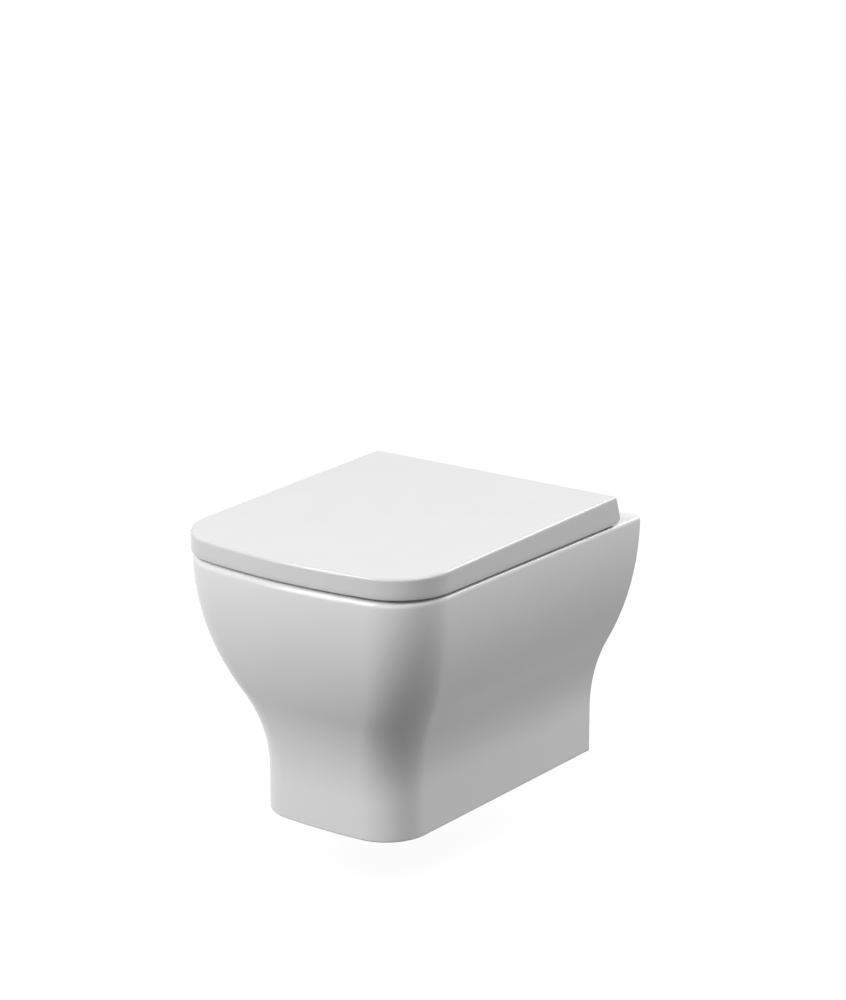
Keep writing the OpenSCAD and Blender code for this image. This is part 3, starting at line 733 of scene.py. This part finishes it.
def trap_line():
    """Middle line of the way over the weir, as places and slopes, and the place where it levels out."""
    start_y = -SUMP_AT
    start_z = -BOWL_DEPTH + TRAP_BORE * math.cos(TRAP_RISE)
    rise_end_z = OUTLET_Z + WEIR_RISE - WEIR_BEND * (1 - math.cos(TRAP_RISE))
    rise_end_y = start_y + (rise_end_z - start_z) / math.tan(TRAP_RISE)
    weir_y = rise_end_y + WEIR_BEND * math.sin(TRAP_RISE)
    weir_z = rise_end_z - WEIR_BEND * math.cos(TRAP_RISE)
    fall_y = weir_y + WEIR_BEND * math.sin(TRAP_FALL)
    fall_z = weir_z + WEIR_BEND * math.cos(TRAP_FALL)
    fall_end_z = OUTLET_Z + OUTLET_BEND * (1 - math.cos(TRAP_FALL))
    fall_end_y = fall_y + (fall_z - fall_end_z) / math.tan(TRAP_FALL)
    outlet_y = fall_end_y + OUTLET_BEND * math.sin(TRAP_FALL)
    line = [(start_y, start_z, TRAP_RISE)]
    line += [(weir_y - WEIR_BEND * math.sin(a), weir_z + WEIR_BEND * math.cos(a), a)
             for a in spaced(TRAP_RISE, -TRAP_FALL, WEIR_STEPS)]
    line += [(outlet_y + OUTLET_BEND * math.sin(a), OUTLET_Z + OUTLET_BEND - OUTLET_BEND * math.cos(a), a)
             for a in spaced(-TRAP_FALL, 0, OUTLET_STEPS)]
    line.append((outlet_y + OUTLET_RUN, OUTLET_Z, 0.0))
    return line, outlet_y


def trap(name, line, radius):
    """Round passage along the trap's middle line."""
    round_turns = spaced(0, 2 * math.pi, TRAP_STEPS)[:-1]
    rings = []
    for y, z, slope in line:
        rings.append([(radius * math.cos(t), y + radius * math.sin(t) * math.sin(slope),
                       z - radius * math.sin(t) * math.cos(slope)) for t in round_turns])
    return skin(name, rings)


def stud_hole(side):
    """Tool for a hole in the web, for a stud and its sleeve."""
    profile = open_mouth(-WEB - STAND_OUT, 0.0, SLEEVE_HOLE, HOLE_EDGE, STAND_OUT)
    return turned("stud_hole", "Y", (side * STUD_X, STUD_Z), profile)


def seat_hole(side):
    """Tool for a hole in the deck, for a post's anchor."""
    profile = open_mouth(-DECK - STAND_OUT, 0.0, SEAT_HOLE, HOLE_EDGE, STAND_OUT)
    return turned("seat_hole", "Z", (side * HOLE_X, -HOLE_AT), profile)


def make_pan():
    """Shell and its hollow, in which bowl, trap, spigot, web and socket stand, with the ways through them."""
    depths = list(RIM_LEVELS) + spaced(RIM_EDGE_FRONT, PAN_HEIGHT - FOOT_EDGE, PAN_STEPS)
    depths += [PAN_HEIGHT - above for above in FOOT_LEVELS]
    shell = skin("glazed_pan", [level(rounded_ring(d), -d) for d in reversed(depths)])
    hollow = skin("hollow", [level(pan_outline(d, SHELL_WALL, LAP, HOLLOW_CORNER), -d)
                             for d in spaced(PAN_HEIGHT + LAP, DECK, HOLLOW_STEPS)])
    lip = [level(bowl_outline(d, 1, edge_inset(d, BOWL_LIP)), -d) for d in LIP_LEVELS]
    lip.append(level(bowl_outline(0, 1, BOWL_LIP), LAP))
    wall_top = level(bowl_outline(BOWL_LIP, 1, BOWL_WALL), -BOWL_LIP)
    line, outlet_y = trap_line()
    outlet, inlet = (0, OUTLET_Z), (0, INLET_Z)
    carve(hollow, [
        bowl("bowl_wall", BOWL_WALL, [wall_top], BOWL_WALL_STEPS),
        trap("trap_wall", line, TRAP_BORE + TRAP_WALL),
        turned("spigot", "Y", outlet, eased_ends(outlet_y - LAP, -SPIGOT_SET, SPIGOT, MOUTH_EDGE)),
        slab("web", (-RIM_HALF, RIM_HALF), (-WEB, STAND_OUT), (STUD_Z - WEB_DROP, STAND_OUT)),
        rod("socket", "Y", inlet, -INLET_DEPTH - SOCKET_END, STAND_OUT, INLET + SOCKET_WALL),
        rod("channel_wall", "Y", inlet, -BOWL_RIM_REAR - CHANNEL_END, -INLET_DEPTH, CHANNEL + CHANNEL_WALL)])
    spigot_bore = open_mouth(outlet_y + LAP, -SPIGOT_SET, SPIGOT_BORE, MOUTH_EDGE, SPIGOT_PAST)
    tools = [hollow, bowl("bowl_way", 0.0, lip, BOWL_STEPS), trap("trap_way", line, TRAP_BORE),
             turned("outlet", "Y", outlet, spigot_bore),
             turned("inlet", "Y", inlet, open_mouth(-INLET_DEPTH, 0.0, INLET, MOUTH_EDGE, STAND_OUT)),
             rod("channel", "Y", inlet, -BOWL_RIM_REAR - 2 * CHANNEL_END, LAP - INLET_DEPTH, CHANNEL)]
    return carve(shell, tools + mirrored(stud_hole) + mirrored(seat_hole))


dress(make_pan(), GLAZE, "pan", ["pan", "pan_bowl", "pan_trap", "pan_web"])


# Seat
def seat_outline(inset):
    return d_outline(SEAT_HALF - inset, SEAT_REACH - inset, RIM_BOW, SEAT_CORNER - inset, -SEAT_BACK - inset,
                     max(SEAT_REAR_CORNER - inset, SEAT_LEAST_CORNER))


def opening_outline(grow):
    return oval(OPENING_HALF + grow, OPENING_FRONT + grow, OPENING_REAR - grow, OPENING_SQUARE)


def add_knuckles(body, x, arm_name, arm, ease):
    """Hinge arms and barrels on both sides, from the arm's side view."""
    def make_arm(side):
        rings = [[(side * x + end * KNUCKLE / 2, -far, z) for far, z in arm] for end in (-1, 1)]
        made = skin(arm_name, rings)
        ease_edges(made, ease, segments=3, least_angle=25)
        return made

    def make_barrel(side):
        profile = eased_ends(side * x - KNUCKLE / 2, side * x + KNUCKLE / 2, BARREL, BARREL_EDGE)
        return turned("barrel", "X", (-HINGE_AT, HINGE_Z), profile, BARREL_STEPS)

    carve(body, mirrored(make_arm), "UNION")
    carve(body, mirrored(make_barrel), "UNION")


def knuckle_bores(x):
    """Bores for the shafts and the damper or bush, through the knuckles on both sides."""
    reach = KNUCKLE / 2 + LAP
    return mirrored(lambda side: rod("bore", "X", (-HINGE_AT, HINGE_Z), side * x - reach, side * x + reach,
                                     CARTRIDGE_BORE, BARREL_STEPS))


def stem_holes(pads, face, room):
    """Holes for the pads' stems, which go up from a face."""
    holes = []
    for x, far in pads:
        holes += mirrored(lambda side: rod("stem_hole", "Z", (side * x, -far), face - LAP, face + room,
                                           PAD_STEM_HOLE, STEM_STEPS))
    return holes


def block_room(side):
    """Tool for the room that a hinge block needs at the back of the seat."""
    return slab("block_room", [side * x for x in BLOCK_ROOM_X], (-BLOCK_ROOM_FAR, SEAT_STAND_OUT - SEAT_BACK),
                (SEAT_UNDER - SEAT_STAND_OUT, SEAT_TOP + SEAT_STAND_OUT))


# Side view of the seat's hinge arm, as distance from the wall and height
SEAT_ARM = (
    (HINGE_AT, HINGE_Z + BARREL), (HINGE_AT + 5, HINGE_Z + 6.4), (SEAT_BACK + 9, SEAT_TOP - 0.5),
    (SEAT_BACK + 9, SEAT_UNDER + 0.5), (SEAT_BACK - 9, SEAT_UNDER + 1), (HINGE_AT + 4, HINGE_Z - BARREL - 2),
    (HINGE_AT, HINGE_Z - BARREL))


def make_seat():
    foot = list(reversed(quarter_round(SEAT_FOOT_EDGE, SMALL_EDGE_STEPS)))
    rings = [level(seat_outline(inset), SEAT_UNDER + up) for inset, up in foot]
    rings += [level(seat_outline(inset), SEAT_TOP - down)
              for inset, down in quarter_round(SEAT_EDGE, SEAT_EDGE_STEPS)]
    ring = skin("seat", rings)
    way = [level(opening_outline(SEAT_FOOT_EDGE), SEAT_UNDER - SEAT_STAND_OUT)]
    way += [level(opening_outline(inset), SEAT_UNDER + up) for inset, up in foot]
    way += [level(opening_outline(inset), SEAT_TOP - down)
            for inset, down in quarter_round(OPENING_EDGE, SEAT_EDGE_STEPS)]
    way.append(level(opening_outline(OPENING_EDGE), SEAT_TOP + SEAT_STAND_OUT))
    carve(ring, [skin("opening", way)])
    add_knuckles(ring, SEAT_KNUCKLE_X, "arm", SEAT_ARM, SEAT_ARM_EDGE)
    return carve(ring, knuckle_bores(SEAT_KNUCKLE_X) + mirrored(block_room)
                 + stem_holes(SEAT_PADS, SEAT_UNDER, SEAT_STEM_ROOM))


dress(make_seat(), SEAT_WHITE, "seat", ["seat_ring"])


# Lid
LID_LOW_Y = LID_BACK - LID_LEAN
LID_LOW_Z = LID_GAP + LID_ROUND_HEIGHT


def lid_top(y):
    """Height of the lid's top, which falls a little towards the front."""
    return LID_TOP - LID_FALL * (-y - LID_BACK)


def lid_back_at(z):
    """Distance from the wall of the lid's leaning back edge."""
    return LID_LOW_Y + (z - LID_LOW_Z) * LID_LEAN / (LID_TOP - LID_LOW_Z)


def lid_outline(inset, back):
    return d_outline(LID_HALF - inset, LID_REACH - inset, RIM_BOW, RIM_CORNER - inset, -back,
                     max(LID_REAR_CORNER - inset, LID_LEAST_CORNER))


def hung(outline, below):
    """Outline at a distance below the lid's sloping top."""
    return [(x, y, lid_top(y) - below) for x, y in outline]


def between(first, second, steps):
    """Rings evenly spaced between two rings, without the two."""
    return [[tuple(p + (q - p) * k / steps for p, q in zip(a, b)) for a, b in zip(first, second)]
            for k in range(1, steps)]


def lid_boss(side, x, far):
    """Boss that holds a pad's stem and runs into the lid's top."""
    top = lid_top(-far) - LID_WALL + BOSS_LAP
    profile = eased_start(LID_PAD_Z, BOSS, BOSS_EDGE) + [(top - BOSS_EDGE, BOSS), (top, BOSS)]
    return turned("boss", "Z", (side * x, -far), profile, BOSS_STEPS)


def lid_notch(side):
    """Tool for the notch in the lid's back edge, for a hinge block and the seat's knuckle."""
    return slab("notch", (side * (SEAT_KNUCKLE_X - KNUCKLE / 2 - LAP), side * (LID_KNUCKLE_X - KNUCKLE / 2)),
                (-LID_BACK - NOTCH_FAR, NOTCH_NEAR - LID_BACK), (-LAP, LID_TOP - LID_WALL - NOTCH_TOP_GAP))


# Side view of the lid's hinge web, as distance from the wall and height
WEB_TOP = LID_TOP - LID_WALL + 0.5
LID_WEB = ((HINGE_AT - 6, HINGE_Z), (LID_BACK + 3, WEB_TOP), (HINGE_AT + BARREL, WEB_TOP),
           (HINGE_AT + BARREL, HINGE_Z))


def make_lid():
    low = []
    for a in spaced(math.pi / 2, 0, LID_FOOT_STEPS):
        drawn_in = 1 - math.cos(a)
        outline = lid_outline(LID_FOOT_INSET * drawn_in, LID_LOW_Y + LID_ROUND_WIDTH * drawn_in)
        low.append(level(outline, LID_LOW_Z - LID_ROUND_HEIGHT * math.sin(a)))
    high = [hung(lid_outline(inset, lid_back_at(LID_TOP - fall) + inset), fall)
            for inset, fall in quarter_round(LID_EDGE, LID_EDGE_STEPS)]
    shell = skin("lid_shell", low + between(low[-1], high[0], LID_SIDE_STEPS) + high)
    way = [level(lid_outline(LID_WALL, LID_LOW_Y + LID_ROUND_WIDTH + LID_WALL), LID_GAP - LAP),
           level(lid_outline(LID_WALL, LID_LOW_Y + LID_WALL), LID_LOW_Z)]
    for inset, fall in quarter_round(LID_INNER_EDGE, LID_INNER_STEPS):
        back = lid_back_at(LID_TOP - LID_WALL - fall) + LID_WALL + inset
        way.append(hung(lid_outline(LID_WALL + inset, back), LID_WALL + fall))
    carve(shell, [skin("lid_way", way)])
    carve(shell, [lid_boss(side, x, far) for x, far in LID_PADS for side in (1, -1)], "UNION")
    carve(shell, mirrored(lid_notch))
    add_knuckles(shell, LID_KNUCKLE_X, "lid_web", LID_WEB, LID_ARM_EDGE)
    return carve(shell, knuckle_bores(LID_KNUCKLE_X) + stem_holes(LID_PADS, LID_PAD_Z, LID_STEM_ROOM))


dress(make_lid(), SEAT_WHITE, "lid", ["lid"])


# What repeats: pads and springs
def tree_start(name, sizes):
    """Geometry tree with named sizes; returns it with its two ends."""
    tree = bpy.data.node_groups.new(name, "GeometryNodeTree")
    tree.is_modifier = True
    tree.interface.new_socket("Geometry", in_out="INPUT", socket_type="NodeSocketGeometry")
    for label, value in sizes:
        tree.interface.new_socket(label, in_out="INPUT", socket_type="NodeSocketFloat").default_value = value
    tree.interface.new_socket("Material", in_out="INPUT", socket_type="NodeSocketMaterial")
    tree.interface.new_socket("Geometry", in_out="OUTPUT", socket_type="NodeSocketGeometry")
    return tree, tree.nodes.new("NodeGroupInput"), tree.nodes.new("NodeGroupOutput")


def joined(tree, x=0.0, y=0.0, z=0.0):
    """Vector of three values."""
    return add_node(tree, "ShaderNodeCombineXYZ", x, y, z).outputs[0]


def finish_tree(tree, given, out, each):
    """Puts the made piece on every point, then makes it real and gives it its material."""
    on_points = tree.nodes.new("GeometryNodeInstanceOnPoints")
    tree.links.new(given.outputs["Geometry"], on_points.inputs["Points"])
    tree.links.new(each, on_points.inputs["Instance"])
    smooth = add_node(tree, "GeometryNodeSetShadeSmooth", on_points.outputs[0])
    real = add_node(tree, "GeometryNodeRealizeInstances", smooth.outputs[0])
    coat = add_node(tree, "GeometryNodeSetMaterial", real.outputs[0])
    tree.links.new(given.outputs["Material"], coat.inputs["Material"])
    tree.links.new(coat.outputs[0], out.inputs["Geometry"])


def make_pad_tree():
    """Round or slot-shaped pad with rolled edges and a stem, centred on each point."""
    sizes = [("Radius", 0.007), ("Height", 0.005), ("Half Length", 0.0), ("Edge", 0.001),
             ("Stem Radius", 0.003), ("Stem Height", 0.0045)]
    tree, given, out = tree_start("pads_with_stems", sizes)
    ball = tree.nodes.new("GeometryNodeMeshUVSphere")
    ball.inputs["Segments"].default_value = 48
    ball.inputs["Rings"].default_value = 20
    ball.inputs["Radius"].default_value = 1.0
    spot = tree.nodes.new("GeometryNodeInputPosition").outputs[0]
    x, y, z = add_node(tree, "ShaderNodeSeparateXYZ", spot).outputs
    flat = vectors(tree, "NORMALIZE", joined(tree, x, y))
    inner = maths(tree, "SUBTRACT", given.outputs["Radius"], given.outputs["Edge"])
    core = vectors(tree, "SCALE", flat, scale=inner)
    roll = vectors(tree, "SCALE", spot, scale=given.outputs["Edge"])
    half = maths(tree, "SUBTRACT", maths(tree, "MULTIPLY", given.outputs["Height"], 0.5), given.outputs["Edge"])
    shift = joined(tree, 0.0, maths(tree, "MULTIPLY", maths(tree, "SIGN", y), given.outputs["Half Length"]),
                   maths(tree, "MULTIPLY", maths(tree, "SIGN", z), half))
    moved = tree.nodes.new("GeometryNodeSetPosition")
    tree.links.new(ball.outputs["Mesh"], moved.inputs["Geometry"])
    tree.links.new(vectors(tree, "ADD", vectors(tree, "ADD", core, roll), shift), moved.inputs["Position"])
    stem = tree.nodes.new("GeometryNodeMeshCylinder")
    stem.inputs["Vertices"].default_value = 32
    tree.links.new(given.outputs["Stem Radius"], stem.inputs["Radius"])
    tree.links.new(given.outputs["Stem Height"], stem.inputs["Depth"])
    lift = tree.nodes.new("GeometryNodeTransform")
    up = maths(tree, "MULTIPLY", maths(tree, "ADD", given.outputs["Height"], given.outputs["Stem Height"]), 0.5)
    tree.links.new(stem.outputs["Mesh"], lift.inputs["Geometry"])
    tree.links.new(joined(tree, 0.0, 0.0, up), lift.inputs["Translation"])
    both = tree.nodes.new("GeometryNodeJoinGeometry")
    for part in (moved, lift):
        tree.links.new(part.outputs[0], both.inputs[0])
    finish_tree(tree, given, out, both.outputs[0])
    return tree


def make_coil_tree():
    """Compression spring along Y that starts at each point and runs towards the front."""
    sizes = [("Turns", 7.0), ("Radius", 0.0019), ("Wire", 0.00025), ("Length", 0.009)]
    tree, given, out = tree_start("coil_springs", sizes)
    coil = tree.nodes.new("GeometryNodeCurveSpiral")
    coil.inputs["Resolution"].default_value = 20
    for size, label in (("Turns", "Rotations"), ("Radius", "Start Radius"), ("Radius", "End Radius"),
                        ("Length", "Height")):
        tree.links.new(given.outputs[size], coil.inputs[label])
    wire = tree.nodes.new("GeometryNodeCurvePrimitiveCircle")
    wire.inputs["Resolution"].default_value = 10
    tree.links.new(given.outputs["Wire"], wire.inputs["Radius"])
    tube = tree.nodes.new("GeometryNodeCurveToMesh")
    tube.inputs["Fill Caps"].default_value = True
    tree.links.new(coil.outputs[0], tube.inputs["Curve"])
    tree.links.new(wire.outputs[0], tube.inputs["Profile Curve"])
    turn = tree.nodes.new("GeometryNodeTransform")
    turn.inputs["Rotation"].default_value = (math.pi / 2, 0, 0)
    tree.links.new(tube.outputs[0], turn.inputs["Geometry"])
    finish_tree(tree, given, out, turn.outputs[0])
    return tree


def grow_from(name, tree, points, sizes, material):
    """Plain mesh of what the tree makes on these points."""
    mesh = bpy.data.meshes.new(name)
    mesh.from_pydata([place(p) for p in points], [], [])
    made = new_object(name, mesh)
    grow = made.modifiers.new("grow", "NODES")
    grow.node_group = tree
    for item in tree.interface.items_tree:
        if item.in_out == "INPUT" and item.name in sizes:
            grow[item.identifier] = sizes[item.name]
        if item.in_out == "INPUT" and item.name == "Material":
            grow[item.identifier] = material
    settle(made)
    return made


PAD_TREE = make_pad_tree()
COIL_TREE = make_coil_tree()
PAD_SETS = (
    # Name, places, height of the middle, height, half length of the slot shape, stem height, body and node
    ("seat_pads", SEAT_PADS, SEAT_UNDER / 2, SEAT_UNDER, SEAT_PAD_SLOT, SEAT_STEM, "seat", "seat_buffers"),
    ("lid_pads", LID_PADS, (SEAT_TOP + LID_PAD_Z) / 2, LID_PAD_Z - SEAT_TOP, 0.0, LID_STEM, "lid",
     "lid_buffers"))
for name, places, middle_z, height, slot, stem, body, node in PAD_SETS:
    points = [(side * x, -far, middle_z) for x, far in places for side in (1, -1)]
    sizes = {"Radius": PAD * MM, "Height": height * MM, "Half Length": slot * MM, "Edge": PAD_EDGE * MM,
             "Stem Radius": PAD_STEM * MM, "Stem Height": stem * MM}
    dress(grow_from(name, PAD_TREE, points, sizes, PAD_RUBBER), PAD_RUBBER, body, [node])

for side, x_side in (("left", -1), ("right", 1)):
    node = side + "_release_spring"
    low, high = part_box(node)
    start = (x_side * HOLE_X, (high.y - WIRE) / MM, (low.z + high.z) / 2 / MM - RIM_HEIGHT)
    sizes = {"Turns": SPRING_TURNS, "Radius": (high.z - low.z) / 2 - WIRE, "Wire": WIRE,
             "Length": high.y - low.y - 2 * WIRE}
    spring = grow_from(side + "_coil", COIL_TREE, [start], sizes, SPRING_WIRE)
    dress(spring, SPRING_WIRE, "pan", [node])
    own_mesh(spring)


# Hinge and wall fixings
def eased_copy(node, name, material, body, width, segments=2):
    """Copy of a solid with its sharp edges broken, which then stands for it."""
    made = new_object(name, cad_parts[node].data.copy())
    work = bmesh.new()
    work.from_mesh(made.data)
    bmesh.ops.remove_doubles(work, verts=work.verts, dist=COPY_WELD)
    bmesh.ops.dissolve_limit(work, angle_limit=FLAT, verts=work.verts, edges=work.edges)
    work.to_mesh(made.data)
    work.free()
    ease_edges(made, width, segments, least_angle=28)
    return dress(made, material, body, [node], crease=40)


eased_copy("hinge_blocks", "hinge_blocks_eased", CHROME, "pan", 0.5, 3)
eased_copy("left_release_button", "left_button_eased", CHROME, "left_button", 0.3)
eased_copy("right_release_button", "right_button_eased", CHROME, "right_button", 0.3)
eased_copy("stud_nuts", "stud_nuts_eased", ZINC_FACED, "pan", 0.5)
eased_copy("stud_washers", "stud_washers_eased", ZINC_FACED, "pan", 0.25)
eased_copy("stud_sleeves", "stud_sleeves_eased", NYLON, "pan", 0.5)

# Solids that are shown as they are, with their finishes
CARRIED_OVER = {
    "hinge_posts": CHROME, "hinge_bolts": ZINC_TURNED, "hinge_gaskets": RUBBER, "anchor_bushes": RUBBER,
    "anchor_cones": BRASS, "pivot_shafts": ZINC_TURNED, "shaft_screws": ZINC_FACED,
    "seat_damper": ACETAL, "seat_bush": ACETAL, "lid_damper": ACETAL, "lid_bush": ACETAL}
for node, material in CARRIED_OVER.items():
    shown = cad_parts[node]
    if shown.material_slots:
        for material_slot in shown.material_slots:
            material_slot.material = material
    else:
        shown.data.materials.append(material)


# Floor, light and camera, in metres
FLOOR_Z = RIM_HEIGHT * MM - 0.4
FLOOR_REACH = 30.0
# The trace of the shadow fades out between these distances from the object's origin
FLOOR_FADE = (0.7, 1.6)
FLOOR_GLOW = 0.94
FLOOR_GREY = 0.12
BOUNCE_GREY = 0.08
FILL_GREY = 0.8
FILL_STRENGTH = 0.302
# What the lamps are turned to, and how far from it they are
LAMP_TARGET = Vector((0.0, -0.25, -0.05))
LAMP_DISTANCE = 3.0


def seen_directly(tree):
    """1 for what the camera sees, also in a reflection or through glass."""
    path = tree.nodes.new("ShaderNodeLightPath")
    shown = maths(tree, "MAXIMUM", path.outputs["Is Camera Ray"], path.outputs["Is Glossy Ray"])
    return maths(tree, "MAXIMUM", shown, path.outputs["Is Transmission Ray"])


def plain_shader(tree, kind, grey, strength=None):
    """Shader of one grey, with a strength where it shines."""
    made = tree.nodes.new(kind)
    made.inputs["Color"].default_value = (grey, grey, grey, 1)
    if strength is not None:
        made.inputs["Strength"].default_value = strength
    return made.outputs[0]


def mix_shaders(tree, share, first, second):
    return add_node(tree, "ShaderNodeMixShader", share, first, second).outputs[0]


def make_floor():
    """White floor that keeps a soft trace of the shadow, throws little light back and is clear from below."""
    mesh = bpy.data.meshes.new("floor")
    corners = [(x * FLOOR_REACH, y * FLOOR_REACH, FLOOR_Z) for x, y in ((-1, -1), (1, -1), (1, 1), (-1, 1))]
    mesh.from_pydata(corners, [], [(0, 1, 2, 3)])
    made = new_object("floor", mesh)
    coat = bpy.data.materials.new("floor_white")
    coat.use_nodes = True
    tree = coat.node_tree
    tree.nodes.clear()
    away = add_node(tree, "ShaderNodeVectorMath", here(tree), operation="LENGTH").outputs["Value"]
    share = spread(tree, away, 1.0, 0.0, *FLOOR_FADE)
    glow = plain_shader(tree, "ShaderNodeEmission", 1.0, FLOOR_GLOW)
    lit = plain_shader(tree, "ShaderNodeBsdfDiffuse", FLOOR_GREY)
    near = add_node(tree, "ShaderNodeAddShader", glow, lit).outputs[0]
    far = plain_shader(tree, "ShaderNodeEmission", 1.0, 1.0)
    shown = mix_shaders(tree, share, far, near)
    bounce = plain_shader(tree, "ShaderNodeBsdfDiffuse", BOUNCE_GREY)
    upper = mix_shaders(tree, seen_directly(tree), bounce, shown)
    below = tree.nodes.new("ShaderNodeNewGeometry").outputs["Backfacing"]
    clear = tree.nodes.new("ShaderNodeBsdfTransparent").outputs[0]
    add_node(tree, "ShaderNodeOutputMaterial", mix_shaders(tree, below, upper, clear))
    mesh.materials.append(coat)


def make_world():
    """Dim even fill on the object, and white wherever the surroundings are seen."""
    world = bpy.data.worlds.new("studio")
    bpy.context.scene.world = world
    world.use_nodes = True
    tree = world.node_tree
    tree.nodes.clear()
    dim = plain_shader(tree, "ShaderNodeBackground", FILL_GREY, FILL_STRENGTH)
    white = plain_shader(tree, "ShaderNodeBackground", 1.0, 1.0)
    add_node(tree, "ShaderNodeOutputWorld", mix_shaders(tree, seen_directly(tree), dim, white))


def softbox(name, azimuth, elevation, size, brightness):
    """Soft square lamp. Azimuth 0 is the front and 90 the right; a white face turned to it is this bright."""
    a, e = math.radians(azimuth), math.radians(elevation)
    way = Vector((math.sin(a) * math.cos(e), -math.cos(a) * math.cos(e), math.sin(e)))
    lamp = bpy.data.lights.new(name, "AREA")
    lamp.size = size
    lamp.energy = brightness * math.pi ** 2 * LAMP_DISTANCE ** 2
    made = new_object(name, lamp)
    made.location = LAMP_TARGET + way * LAMP_DISTANCE
    made.rotation_euler = way.to_track_quat("Z", "Y").to_euler()


def make_camera():
    """Camera with the place, turn and lens that were fitted to the photograph."""
    lens = bpy.data.cameras.new("camera")
    lens.sensor_fit = "VERTICAL"
    lens.sensor_height = 36.0
    lens.lens = 104.09
    camera = new_object("camera", lens)
    camera.location = (1.9860, -2.8849, 1.0822)
    camera.rotation_euler = (math.radians(73.98), 0.0, math.radians(36.54))
    bpy.context.scene.camera = camera


make_floor()
make_world()
softbox("front_left_softbox", -24.0, 36.0, 1.5, 0.592)
softbox("low_front_softbox", -30.0, 4.0, 1.0, 0.1)
softbox("upper_right_softbox", 78.0, 55.0, 2.0, 0.365)
softbox("rear_right_softbox", 152.0, 37.0, 1.4, 0.381)
make_camera()
bpy.context.scene.view_settings.view_transform = "Standard"
